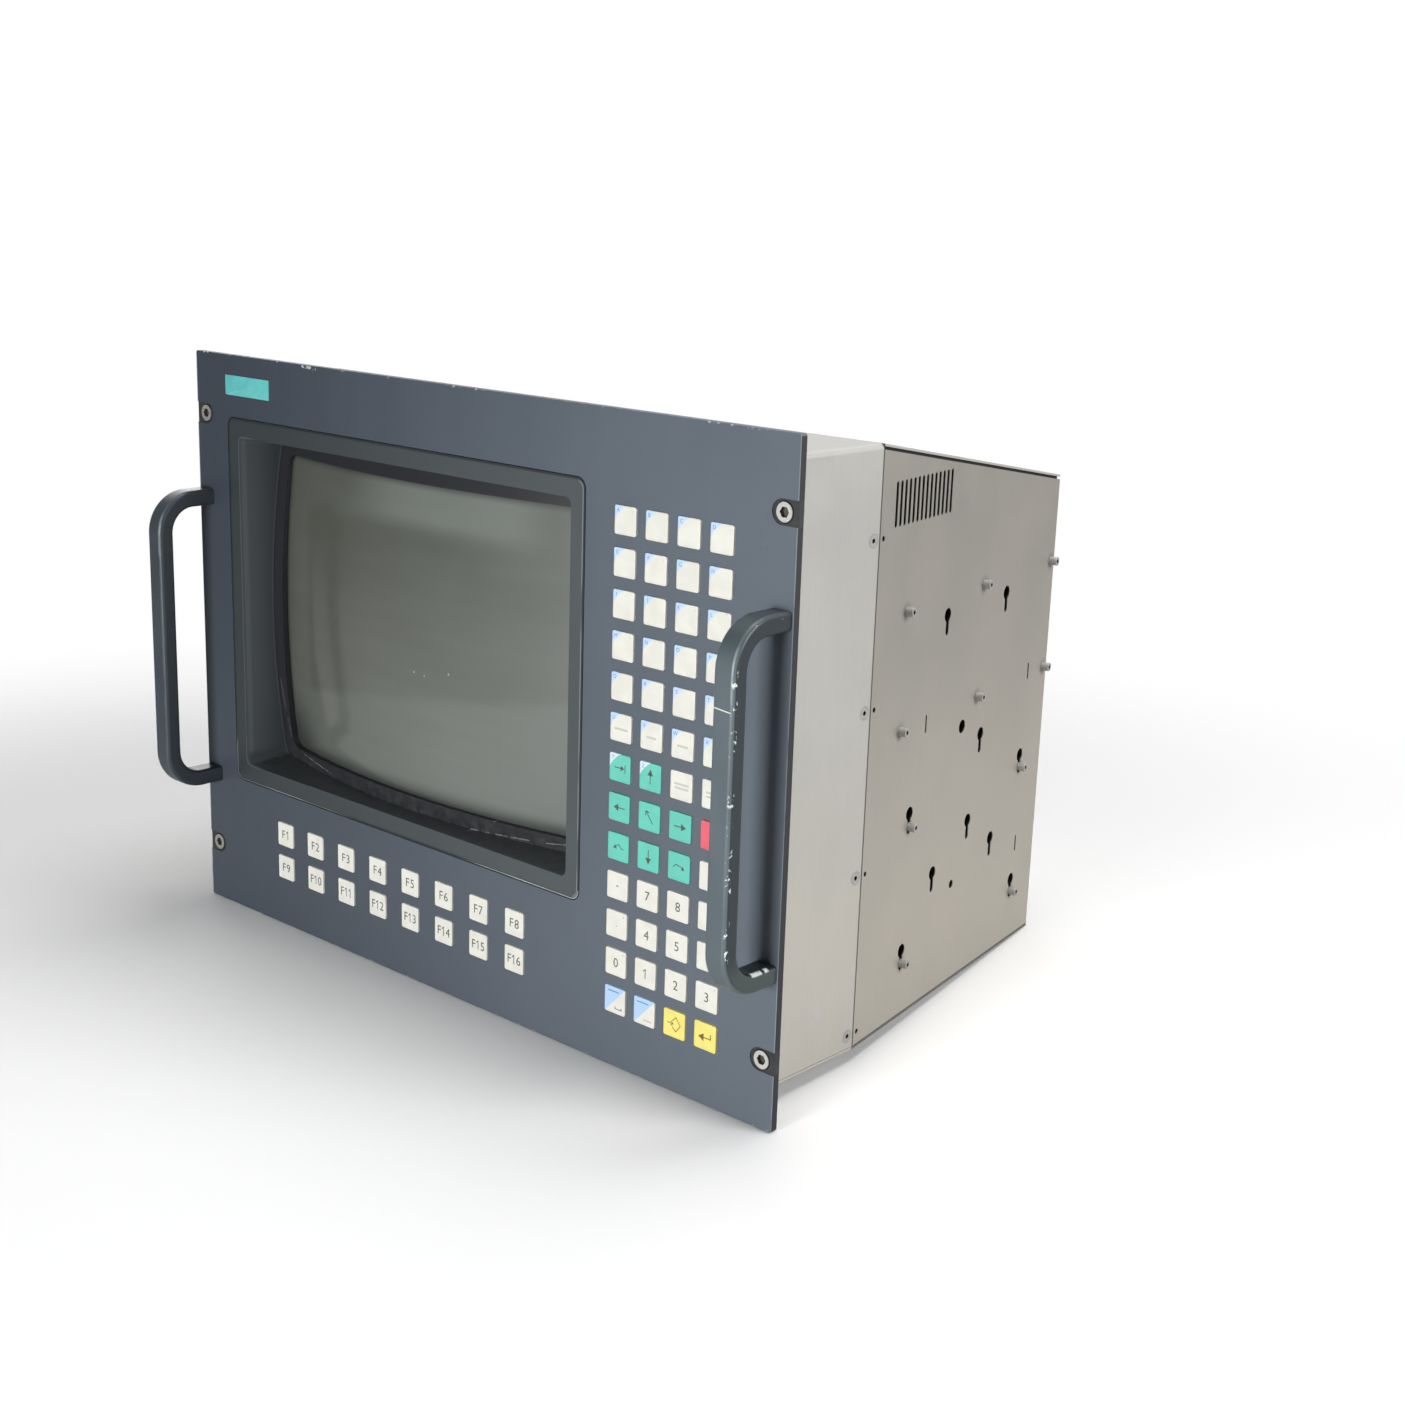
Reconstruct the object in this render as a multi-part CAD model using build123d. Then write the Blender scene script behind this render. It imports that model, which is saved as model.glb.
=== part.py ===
from build123d import *
import math
import os

# Industrial operator panel: a rack front with keys, handles and a picture tube, on a sheet metal case
# Millimetres. X runs to the right seen from the front, Y runs to the rear, Z runs up.
# The origin is the middle of the four rack fixings, on the plane where their bushes meet the rack rails.
# A level is a height above the lower edge of the front panel.

quarter_turn = 90
right_angle_cone = 45

# Clearances
seat_gap = 0.3
screw_gap = 0.1
cut_overrun = 1.0

# Front panel
panel_width = 482.6
panel_height = 354.8
panel_thickness = 4.0
panel_corner_radius = 1.5
notch_height = 12.7
notch_reach = 16.3

# Rack fixings
rack_edge_inset = 8.75
rack_edge_rise = 37.7
bush_setback = 0.5
bush_gap = 0.05
bush_collar_thickness = 1.5
bush_collar_rim = 2.0
bush_collar_end_inset = 2.0
rack_screw_diameter = 6.0
rack_shoulder_diameter = 6.6
rack_screw_length = 7.5
rack_head_diameter = 10.0
rack_head_height = 4.0
rack_socket_width = 5.0
rack_socket_depth = 2.5
rack_screw_clearance = 0.5

# Keys
keypad_low_margin = 38.4
keypad_top_margin = 55.76
keypad_side_margin = 46.34
key_web = 6.72
key_corner_cut = 1.3
key_rim = 0.9
key_dish = 0.25
key_gap = 0.3
key_proud = 0.8
key_travel = 0.6
key_flange_rim = 1.2
key_flange_thickness = 1.2
key_end_gap = 0.1
keypad_columns = 4
letter_rows = 7
function_row_share = 0.6768
function_columns = 8
function_rows = 2
single_key_names = [
    ["key_left", "key_home", "key_right", "key_red"],
    ["key_previous", "key_down", "key_next", "key_symbol"],
    ["key_minus", "key_7", "key_8", "key_9"],
    ["key_point", "key_4", "key_5", "key_6"],
    ["key_0", "key_1", "key_2", "key_3"],
    ["key_space", "key_shift", "key_input", "key_enter"],
]

# Key board behind the keys
board_thickness = 1.6
board_margin = 1.0
switch_size = 7.0
switch_height = 4.0
board_spacer_diameter = 4.0

# Handles
handle_side_margin = 8.0
handle_low_margin = 85.5
handle_top_margin = 89.3
handle_reach = 40.2
handle_width = 13.6
handle_bar = 10.1
handle_bend = 20.25
handle_edge_radius = 2.4
handle_screw_diameter = 5.0
handle_screw_grip = 14.0
handle_screw_head_diameter = 10.0

# Screen bezel
bezel_left_margin = 31.25
bezel_right_margin = 141.05
bezel_top_margin = 37.8
bezel_low_margin = 86.5
bezel_corner_radius = 6.0
bezel_joint_gap = 0.4
bezel_side_lip = 10.45
bezel_top_lip = 11.4
bezel_recess_corner = 4.0
bezel_side_draft = 5.2
bezel_top_draft = 3.4
bezel_draft_depth = 38.0
bezel_wall = 3.0
ridge_depth = 4.4
ridge_radius_across = 590.0
ridge_radius_upright = 620.0
ridge_drop = 3.75
window_side_inset = 25.65
window_top_inset = 21.95
window_corner_radius = 7.0

# Picture tube
tube_face_depth = 7.6
tube_radius_across = 560.0
tube_radius_upright = 667.0
tube_side_inset = 5.15
tube_top_inset = 2.25
tube_corner_radius = 22.0
tube_face_thickness = 9.0
tube_wall = 4.0
tube_rim_depth = 62.0
tube_waist_depth = 130.0
tube_throat_depth = 195.0
tube_waist_width_share = 0.63
tube_waist_height_share = 0.66
tube_waist_corner_share = 0.38
tube_throat_diameter = 62.0
tube_throat_corner_share = 0.44
neck_diameter = 29.0
neck_wall = 1.5
neck_end_depth = 296.0
band_thickness = 1.5
band_start_depth = 46.0
band_width = 13.0
lug_inset = 4.0
lug_rise = 7.0
lug_width = 28.0
lug_height = 24.0
lug_thickness = 2.0
pillar_diameter = 8.0
pillar_tip_diameter = 4.0
pillar_tip_length = 8.0
yoke_throat_reach = 11.0
yoke_length = 46.0
yoke_front_diameter = 112.0
yoke_rear_diameter = 74.0
yoke_flange_diameter = 124.0
yoke_flange_thickness = 3.0

# Case
case_side_margin = 21.3
case_low_margin = 10.0
case_top_margin = 13.8
case_edge_radius = 3.0
front_section_depth = 89.0
rear_section_length = 231.0
side_taper = 9.5
roof_drop = 40.4
sheet = 2.0
flange_width = 12.0
frame_stud_diameter = 4.0
frame_stud_length = 9.0
frame_stud_inset = 30.0
bottom_sheet = 1.5
cover_thickness = 1.3
cover_gap = 1.6
cover_pad_inset = 1.5
tongue_reach = 13.0
tongue_weld = 7.0

# Case screws
case_screw_low_margin = 9.0
case_screw_top_margin = 49.3
case_screw_rows = 4
case_screw_setback = 5.0
case_screw_head_diameter = 7.2
case_screw_diameter = 3.4
case_screw_length = 8.0
case_socket_width = 2.4
case_socket_depth = 1.0
wall_hole_run = 4.2
wall_hole_diameter = 3.0

# Vents
vent_slot_width = 2.6
vent_pitch = 4.97
side_vent_slots = 14
side_vent_run = 16.0
side_vent_drop = 21.0
side_vent_height = 24.2
back_vent_slots = 20
back_vent_drop = 25.6
back_vent_height = 30.0
floor_vent_slots = 16
floor_vent_length = 60.0
floor_vent_y_gap = 22.0

# Right wall: run shares are of its length from the front edge, level shares are of the case's height
stud_diameter = 5.2
stud_height = 4.6
stud_shank_diameter = 3.0
stud_shank_inside = 2.5
stud_thread_diameter = 2.4
stud_thread_depth = 3.0
stud_upper_run_shares = [0.1537, 0.57, 0.9777]
stud_upper_level_shares = [0.7205, 0.5205]
stud_lower_run_shares = [0.2306, 0.8684]
stud_lower_level_shares = [0.3435, 0.0988]
hooked_keyhole_rise = 7.4
keyhole_head_diameter = 8.0
keyhole_slot_width = 3.6
keyhole_drop = 9.8
keyhole_run_shares = [0.3736, 0.7088, 0.6076, 0.5653, 0.713, 0.3774]
keyhole_level_shares = [0.6888, 0.6903, 0.4465, 0.2934, 0.2329, 0.2317]
round_hole_diameter = 8.0
round_hole_run_share = 0.4949
round_hole_level_share = 0.477
small_hole_diameter = 5.0
small_hole_run_share = 0.4906
small_hole_level_share = 0.1885
slit_width = 1.6
slit_height = 10.0
slit_run_shares = [0.2903, 0.8821, 0.8821]
slit_level_shares = [0.5127, 0.5242, 0.1909]

# Rear wall fittings
inlet_x = -120.0
inlet_level = 52.0
inlet_width = 30.0
inlet_height = 23.0
inlet_depth = 24.0
inlet_proud = 3.0
inlet_cavity_share = 0.72
inlet_corner_cut = 4.0
blade_thickness = 2.0
blade_height = 4.0
blade_pitch = 7.0
plug_socket_level = 52.0
plug_socket_xs = [20.0, 95.0]
plug_socket_widths = [53.0, 39.0]
plug_socket_height = 12.5
plug_shell_share = 0.62
plug_shell_proud = 6.0
plug_socket_depth = 11.0
plug_flange_proud = 1.0
earth_stud_x = -60.0
earth_stud_level = 52.0
earth_stud_diameter = 5.0
earth_stud_length = 12.0

# Circuit boards inside
main_board_width = 250.0
main_board_length = 150.0
main_board_front_gap = 35.0
main_board_lift = 12.0
board_post_diameter = 7.0
transformer_width = 66.0
transformer_length = 56.0
transformer_height = 52.0
line_transformer_diameter = 36.0
line_transformer_height = 58.0
capacitor_diameter = 22.0
capacitor_height = 35.0
capacitor_pitch = 33.0
capacitor_count = 3
heatsink_width = 90.0
heatsink_height = 40.0
heatsink_base = 3.0
heatsink_fin_thickness = 2.5
heatsink_fin_length = 12.0
heatsink_fins = 9
neck_board_size = 70.0
neck_socket_diameter = 44.0
neck_socket_length = 14.0


# Places worked out from the sizes above
panel_back = -bush_collar_thickness
panel_front = panel_back - panel_thickness
seam_y = panel_back + front_section_depth
rear_y = seam_y + rear_section_length
taper_slope = math.tan(math.radians(side_taper))
taper_secant = 1 / math.cos(math.radians(side_taper))
rack_pitch_x = panel_width - 2 * rack_edge_inset
rack_pitch_z = panel_height - 2 * rack_edge_rise
handle_x = panel_width / 2 - handle_side_margin
bezel_width = panel_width - bezel_left_margin - bezel_right_margin
bezel_height = panel_height - bezel_top_margin - bezel_low_margin
function_pitch = bezel_width * function_row_share / (function_columns - 1)
tube_width = bezel_width - 2 * tube_side_inset
tube_height = bezel_height - 2 * tube_top_inset
case_width = panel_width - 2 * case_side_margin
case_height = panel_height - case_low_margin - case_top_margin
keypad_rows = letter_rows + len(single_key_names)
key_pitch = (panel_height - keypad_low_margin - keypad_top_margin) / (keypad_rows - 1)
key_size = key_pitch - key_web
case_screw_pitch = (case_height - case_screw_low_margin - case_screw_top_margin) / (case_screw_rows - 1)


def level(height):
    """Z of a height above the panel's lower edge"""
    return height - panel_height / 2


def depth(distance):
    """Y of a distance behind the panel's front face"""
    return panel_front + distance


handle_low_z = level(handle_low_margin)
handle_high_z = panel_height / 2 - handle_top_margin
screen_x = (bezel_left_margin - bezel_right_margin) / 2
screen_z = level(bezel_low_margin + bezel_height / 2)
ridge_z = screen_z - ridge_drop
case_bottom = level(case_low_margin)
case_top = case_bottom + case_height
floor_top = case_bottom + bottom_sheet
wall_bottom = floor_top + seat_gap
roof_fall = roof_drop / rear_section_length
cover_underside_drop = cover_thickness + cover_gap


def facing(y):
    """Plane seen from the front at y, with X to the right and Z up"""
    return Plane.XZ.offset(-y)


def slab(sketch, y_front, y_back):
    """Sketch seen from the front, as thick as from y_front to y_back"""
    return extrude(facing(y_back) * sketch, y_back - y_front)


def block(x_low, x_high, y_low, y_high, z_low, z_high):
    """Block between two corners"""
    middle = Pos((x_low + x_high) / 2, (y_low + y_high) / 2, (z_low + z_high) / 2)
    return middle * Box(x_high - x_low, y_high - y_low, z_high - z_low)


def rod(radius, x, z, y_low, y_high):
    """Round rod along Y"""
    return Pos(x, (y_low + y_high) / 2, z) * Rot(-quarter_turn, 0, 0) * Cylinder(radius, y_high - y_low)


def cone(radius_low, radius_high, x, z, y_low, y_high):
    """Cone along Y, with its first radius at y_low"""
    turned = Rot(-quarter_turn, 0, 0) * Cone(radius_low, radius_high, y_high - y_low)
    return Pos(x, (y_low + y_high) / 2, z) * turned


def upright(radius, x, y, z_low, z_high):
    """Round post along Z"""
    return Pos(x, y, (z_low + z_high) / 2) * Cylinder(radius, z_high - z_low)


# Keys

def keypad_place(row, column):
    """Middle of a key of the keypad, with row 0 at the top"""
    rise = (keypad_rows - 1 - row) * key_pitch
    last_x = panel_width / 2 - keypad_side_margin
    return last_x - (keypad_columns - 1 - column) * key_pitch, level(keypad_low_margin + rise)


def function_place(row, column):
    """Middle of a function key, with row 0 on top, in line with the keypad's last rows"""
    rise = (function_rows - 1 - row) * key_pitch
    first_x = screen_x - (function_columns - 1) * function_pitch / 2
    return first_x + column * function_pitch, level(keypad_low_margin + rise)


keypad_places = [keypad_place(row, column) for row in range(keypad_rows) for column in range(keypad_columns)]
function_places = [function_place(row, column)
                   for row in range(function_rows) for column in range(function_columns)]
key_places = keypad_places + function_places

key_front = panel_front - key_proud
flange_front = panel_back + seat_gap
flange_back = flange_front + key_flange_thickness
switch_front = flange_back + key_travel + key_end_gap
board_front = switch_front + switch_height
board_back = board_front + board_thickness


def key_outline(size):
    """Square with cut corners"""
    square = Rectangle(size, size)
    return chamfer(square.vertices(), key_corner_cut)


def key_cap(x, z):
    """Cap with a raised rim, that passes through the panel; a flange behind the panel holds it in"""
    place = Pos(x, z)
    cap = slab(place * key_outline(key_size), key_front, flange_front)
    flange_size = key_size + 2 * (key_gap + key_flange_rim)
    cap += slab(place * Rectangle(flange_size, flange_size), flange_front, flange_back)
    dish = place * key_outline(key_size - 2 * key_rim)
    return cap - slab(dish, key_front - cut_overrun, key_front + key_dish)


def key_board():
    """L-shaped circuit board with a switch behind each key and spacers to the panel"""
    margin = key_size / 2 + key_flange_rim + board_margin
    keypad_low_x, low_z = keypad_place(keypad_rows - 1, 0)
    keypad_high_x, keypad_high_z = keypad_place(0, keypad_columns - 1)
    function_low_x, function_high_z = function_place(0, 0)
    keypad_board = block(keypad_low_x - margin, keypad_high_x + margin, board_front, board_back,
                         low_z - margin, keypad_high_z + margin)
    function_board = block(function_low_x - margin, keypad_low_x, board_front, board_back,
                           low_z - margin, function_high_z + margin)
    board = keypad_board + function_board
    half = switch_size / 2
    for x, z in key_places:
        board += block(x - half, x + half, switch_front, board_front, z - half, z + half)
    spacer_rows = [0, keypad_rows // 2, keypad_rows - 2]
    spacers = [(keypad_low_x + (column + 1 / 2) * key_pitch, keypad_place(row, 0)[1] - key_pitch / 2)
               for row in spacer_rows for column in (0, keypad_columns - 2)]
    spacers += [(function_place(0, column)[0] + function_pitch / 2, function_high_z - key_pitch / 2)
                for column in (0, function_columns // 2, function_columns - 2)]
    for x, z in spacers:
        board += rod(board_spacer_diameter / 2, x, z, panel_back, board_front)
    return board


# Front panel

def notch(clearance, reach_past_edge):
    """Open notch of the right edge, at the middle of the height of its fixing"""
    radius = notch_height / 2 - clearance
    round_x = panel_width / 2 - notch_reach + notch_height / 2
    end_x = panel_width / 2 + reach_past_edge
    straight = Pos((round_x + end_x) / 2, 0) * Rectangle(end_x - round_x, 2 * radius)
    return Pos(round_x, 0) * Circle(radius) + straight


def at_rack_fixings(sketch):
    """A right-hand sketch copied to the four fixings"""
    copies = []
    for rise in (-rack_pitch_z / 2, rack_pitch_z / 2):
        raised = Pos(0, rise) * sketch
        copies += [raised, mirror(raised, about=Plane.YZ)]
    return copies


handle_feet = [(side * handle_x, z) for side in (-1, 1) for z in (handle_low_z, handle_high_z)]


def front_panel():
    """Rack plate with notches, a screen opening, a window for each key and sunk holes for the handles"""
    outline = RectangleRounded(panel_width, panel_height, panel_corner_radius)
    outline -= at_rack_fixings(notch(0, cut_overrun))
    opening_corner = bezel_corner_radius + bezel_joint_gap
    opening_width = bezel_width + 2 * bezel_joint_gap
    opening_height = bezel_height + 2 * bezel_joint_gap
    outline -= Pos(screen_x, screen_z) * RectangleRounded(opening_width, opening_height, opening_corner)
    outline -= [Pos(x, z) * key_outline(key_size + 2 * key_gap) for x, z in key_places]
    panel = slab(outline, panel_front, panel_back)
    head_radius = handle_screw_head_diameter / 2
    shank_radius = handle_screw_diameter / 2 + screw_gap
    for x, z in handle_feet:
        panel -= rod(shank_radius, x, z, panel_front - cut_overrun, panel_back + cut_overrun)
        panel -= cone(shank_radius, head_radius + screw_gap, x, z,
                      panel_back - head_radius - screw_gap + shank_radius, panel_back)
    return panel


# Rack fixings

bush_front = panel_front + bush_setback
head_seat = panel_front + rack_head_height


def rack_places():
    """Middles of the four rack fixings"""
    return [(side * rack_pitch_x / 2, rise * rack_pitch_z / 2) for side in (-1, 1) for rise in (-1, 1)]


def rack_bushes():
    """Plastic bushes that fill the notches, with a collar behind the panel and a seat for the screw head"""
    bodies = at_rack_fixings(notch(bush_gap, 0))
    collars = at_rack_fixings(notch(-bush_collar_rim, -bush_collar_end_inset))
    bushes = [slab(body, bush_front, panel_back) + slab(collar, panel_back, 0)
              for body, collar in zip(bodies, collars)]
    cuts = []
    screw_bore = rack_screw_diameter / 2 + rack_screw_clearance
    head_bore = rack_head_diameter / 2 + rack_screw_clearance
    for x, z in rack_places():
        cuts.append(rod(screw_bore, x, z, bush_front, cut_overrun))
        cuts.append(rod(head_bore, x, z, bush_front - cut_overrun, head_seat))
    return Compound([solid for bush in bushes for solid in (bush - cuts).solids()])


def hexagon(width):
    """Hexagon of a width across its flats"""
    return RegularPolygon(width / 2, 6, major_radius=False)


def rack_screws():
    """Cap screws whose heads lie level with the panel's face, with a shoulder in the bush"""
    screws = []
    for x, z in rack_places():
        screw = rod(rack_head_diameter / 2, x, z, panel_front, head_seat)
        screw += rod(rack_shoulder_diameter / 2, x, z, head_seat, 0)
        screw += rod(rack_screw_diameter / 2, x, z, 0, head_seat + rack_screw_length)
        socket = Pos(x, z) * hexagon(rack_socket_width)
        screws.append(screw - slab(socket, panel_front - cut_overrun, panel_front + rack_socket_depth))
    return Compound([solid for screw in screws for solid in screw.solids()])


# Handles

def handle(side):
    """Bent bar on two feet, with rounded edges and a threaded hole in each foot"""
    x = side * handle_x
    bar_y = panel_front - handle_reach + handle_bar / 2
    corners = [(x, panel_front, handle_low_z), (x, bar_y, handle_low_z),
               (x, bar_y, handle_high_z), (x, panel_front, handle_high_z)]
    path = FilletPolyline(*corners, radius=handle_bend)
    section = Rectangle(handle_width, handle_bar)
    section = fillet(section.vertices(), handle_edge_radius)
    bar = sweep(Plane(origin=corners[0], x_dir=(1, 0, 0), z_dir=(0, -1, 0)) * section, path=path)
    for z in (handle_low_z, handle_high_z):
        bar -= rod(handle_screw_diameter / 2 + screw_gap, x, z,
                   panel_front - handle_screw_grip, panel_front + cut_overrun)
    return bar


frame_studs = [(column * (case_width / 2 - frame_stud_inset), z)
               for column in (-1, 0, 1)
               for z in (wall_bottom + sheet + flange_width / 2, case_top - sheet - flange_width / 2)]


def panel_screws():
    """Countersunk screws from behind the panel into the handles' feet, and the studs that hold the case"""
    head_radius = handle_screw_head_diameter / 2
    shank_radius = handle_screw_diameter / 2
    cone_front = panel_back - head_radius + shank_radius
    tip_y = panel_front - handle_screw_grip + cut_overrun
    screws = []
    for x, z in handle_feet:
        screw = cone(shank_radius, head_radius, x, z, cone_front, panel_back)
        screw += rod(shank_radius, x, z, tip_y, cone_front)
        screws.append(screw)
    for x, z in frame_studs:
        screws.append(rod(frame_stud_diameter / 2, x, z, panel_back, panel_back + frame_stud_length))
    return Compound([solid for screw in screws for solid in screw.solids()])


# Screen bezel and picture tube

lug_front = depth(band_start_depth)
pillars = [(screen_x + side * (tube_width / 2 - lug_inset), screen_z + rise * (tube_height / 2 + lug_rise))
           for side in (-1, 1) for rise in (-1, 1)]


def barrel(middle_z, face_depth, radius_across, radius_upright):
    """Solid behind a face that is curved both ways, like that of a picture tube"""
    axis_y = depth(face_depth) + radius_across
    half_height = panel_height / 2
    fall = radius_upright - math.sqrt(radius_upright ** 2 - half_height ** 2)
    low_end = (radius_across - fall, -half_height)
    high_end = (radius_across - fall, half_height)
    face_line = ThreePointArc(low_end, (radius_across, 0), high_end)
    closing = Polyline(high_end, (0, half_height), (0, -half_height), low_end)
    side_view = Plane(origin=(screen_x, axis_y, middle_z), x_dir=(0, -1, 0), z_dir=(-1, 0, 0))
    profile = side_view * make_face(face_line + closing)
    return revolve(profile, axis=Axis((screen_x, axis_y, 0), (0, 0, 1)))


def screen_bezel():
    """Moulded frame: a lip level with the panel, drafted walls and an inner ledge that follows the tube"""
    middle = Pos(screen_x, screen_z)
    recess_width = bezel_width - 2 * bezel_side_lip
    recess_height = bezel_height - 2 * bezel_top_lip
    back_y = depth(bezel_draft_depth)
    lip = RectangleRounded(bezel_width, bezel_height, bezel_corner_radius)
    frame = slab(middle * lip, panel_front, panel_back)
    rim = RectangleRounded(recess_width + 2 * bezel_wall, recess_height + 2 * bezel_wall, bezel_corner_radius)
    frame += slab(middle * rim, panel_back, back_y)
    mouth = RectangleRounded(recess_width, recess_height, bezel_recess_corner)
    throat = RectangleRounded(recess_width - 2 * bezel_side_draft, recess_height - 2 * bezel_top_draft,
                              bezel_recess_corner)
    recess = loft([facing(panel_front) * middle * mouth, facing(back_y) * middle * throat], ruled=True)
    frame -= recess - barrel(ridge_z, ridge_depth, ridge_radius_across, ridge_radius_upright)
    window_width = bezel_width - 2 * window_side_inset
    window_height = bezel_height - 2 * window_top_inset
    window = RectangleRounded(window_width, window_height, window_corner_radius)
    frame -= slab(middle * window, panel_front - cut_overrun, back_y + cut_overrun)
    frame -= barrel(screen_z, tube_face_depth - seat_gap, tube_radius_across + seat_gap,
                    tube_radius_upright + seat_gap)
    return frame


def tube_outline(growth):
    """Outline of the tube's face, larger by growth all round"""
    return Pos(screen_x, screen_z) * RectangleRounded(
        tube_width + 2 * growth, tube_height + 2 * growth, tube_corner_radius + growth)


def funnel(inset):
    """Funnel of the tube from rim to throat, smaller by inset all round"""
    middle = Pos(screen_x, screen_z)
    waist_width = tube_width * tube_waist_width_share - 2 * inset
    waist_height = tube_height * tube_waist_height_share - 2 * inset
    throat = tube_throat_diameter - 2 * inset
    waist = RectangleRounded(waist_width, waist_height, waist_height * tube_waist_corner_share)
    end = RectangleRounded(throat, throat, throat * tube_throat_corner_share)
    sections = [
        facing(depth(tube_rim_depth)) * tube_outline(-inset),
        facing(depth(tube_waist_depth)) * middle * waist,
        facing(depth(tube_throat_depth - inset)) * middle * end,
    ]
    return loft(sections, ruled=True)


def picture_tube():
    """Glass picture tube: curved face, funnel and neck, hollow, open where the neck ends"""
    throat_y = depth(tube_throat_depth)
    neck_end = depth(neck_end_depth)
    inner_depth = tube_face_depth + tube_face_thickness
    face_front = barrel(screen_z, tube_face_depth, tube_radius_across, tube_radius_upright)
    face_back = barrel(screen_z, inner_depth, tube_radius_across, tube_radius_upright)
    tube = slab(tube_outline(0), panel_front, depth(tube_rim_depth)) & face_front
    tube += funnel(0)
    tube += rod(neck_diameter / 2, screen_x, screen_z, throat_y, neck_end)
    hollow = slab(tube_outline(-tube_wall), panel_front, depth(tube_rim_depth)) & face_back
    tube -= hollow
    tube -= funnel(tube_wall)
    bore = neck_diameter / 2 - neck_wall
    tube -= rod(bore, screen_x, screen_z, throat_y - 2 * tube_wall, neck_end + cut_overrun)
    return tube


def tube_mount():
    """Steel band round the rim of the tube, with a lug on each of four pillars that stand on the panel"""
    band_end = lug_front + band_width
    band = slab(tube_outline(screw_gap + band_thickness), lug_front, band_end)
    for x, z in pillars:
        lug = Pos(x, z) * Rectangle(lug_width, lug_height)
        band += slab(lug, lug_front, lug_front + lug_thickness)
    band -= slab(tube_outline(screw_gap), lug_front - cut_overrun, band_end + cut_overrun)
    pieces = [band]
    lug_bore = pillar_tip_diameter / 2 + screw_gap
    for x, z in pillars:
        pieces[0] -= rod(lug_bore, x, z, lug_front - cut_overrun, lug_front + lug_thickness + cut_overrun)
        shoulder_y = lug_front - seat_gap
        pillar = rod(pillar_diameter / 2, x, z, panel_back, shoulder_y)
        pillar += rod(pillar_tip_diameter / 2, x, z, shoulder_y, lug_front + pillar_tip_length)
        pieces.append(pillar)
    return Compound([solid for piece in pieces for solid in piece.solids()])


def deflection_yoke():
    """Coil ring that sits on the throat of the tube, with a flange at each end"""
    start_y = depth(tube_throat_depth - yoke_throat_reach)
    end_y = start_y + yoke_length
    front_radius = yoke_front_diameter / 2
    rear_radius = yoke_rear_diameter / 2
    flange_radius = yoke_flange_diameter / 2
    coil = cone(front_radius, rear_radius, screen_x, screen_z, start_y, end_y)
    coil += rod(flange_radius, screen_x, screen_z, start_y, start_y + yoke_flange_thickness)
    coil += rod(front_radius, screen_x, screen_z, end_y - yoke_flange_thickness, end_y)
    bore = neck_diameter / 2 + seat_gap
    coil -= rod(bore, screen_x, screen_z, start_y - cut_overrun, end_y + cut_overrun)
    return coil - funnel(-seat_gap)


# Case

def case_prism(inset, y_front, z_low, z_high):
    """Upright block with the plan of the rear section, drawn in by inset"""
    def half_width(y):
        return case_width / 2 - (y - seam_y) * taper_slope - inset * taper_secant
    y_back = rear_y - inset
    corners = [(half_width(y_front), y_front), (half_width(y_back), y_back),
               (-half_width(y_back), y_back), (-half_width(y_front), y_front)]
    plan = make_face(Polyline(*corners, close=True))
    return extrude(Plane.XY.offset(z_low) * plan, z_high - z_low)


def under_roof(drop):
    """Everything below the sloping roof, lowered by drop"""
    def roof(y):
        return case_top - (y - seam_y) * roof_fall - drop
    y_front = seam_y - cut_overrun
    y_back = rear_y + cut_overrun
    low = case_bottom - cut_overrun
    corners = [(y_front, low), (y_front, roof(y_front)), (y_back, roof(y_back)), (y_back, low)]
    side_view = make_face(Polyline(*corners, close=True))
    return extrude(Plane.YZ * side_view, case_width / 2 + cut_overrun, both=True)


case_screw_levels = [case_low_margin + case_screw_low_margin + row * case_screw_pitch
                     for row in range(case_screw_rows)]


def side_screw(side, height, head_radius, shank_radius, x_in):
    """Countersunk screw shape through a side wall, with its head level with the outside"""
    outer_x = case_width / 2
    cone_end = outer_x - (head_radius - shank_radius)
    y = seam_y - case_screw_setback
    head = Pos((outer_x + cone_end) / 2, 0, 0) * Rot(0, quarter_turn, 0) * Cone(
        shank_radius, head_radius, outer_x - cone_end)
    shank = Pos((x_in + cone_end) / 2, 0, 0) * Rot(0, quarter_turn, 0) * Cylinder(
        shank_radius, cone_end - x_in)
    screw = Pos(0, y, level(height)) * (head + shank)
    return screw if side > 0 else mirror(screw, about=Plane.YZ)


def screw_cuts():
    """Screw holes of both sides, a little wider than the screws"""
    head_radius = case_screw_head_diameter / 2 + screw_gap
    shank_radius = case_screw_diameter / 2 + screw_gap
    inner_x = case_width / 2 - case_screw_length - cut_overrun
    return [side_screw(side, height, head_radius, shank_radius, inner_x)
            for side in (-1, 1) for height in case_screw_levels]


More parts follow.
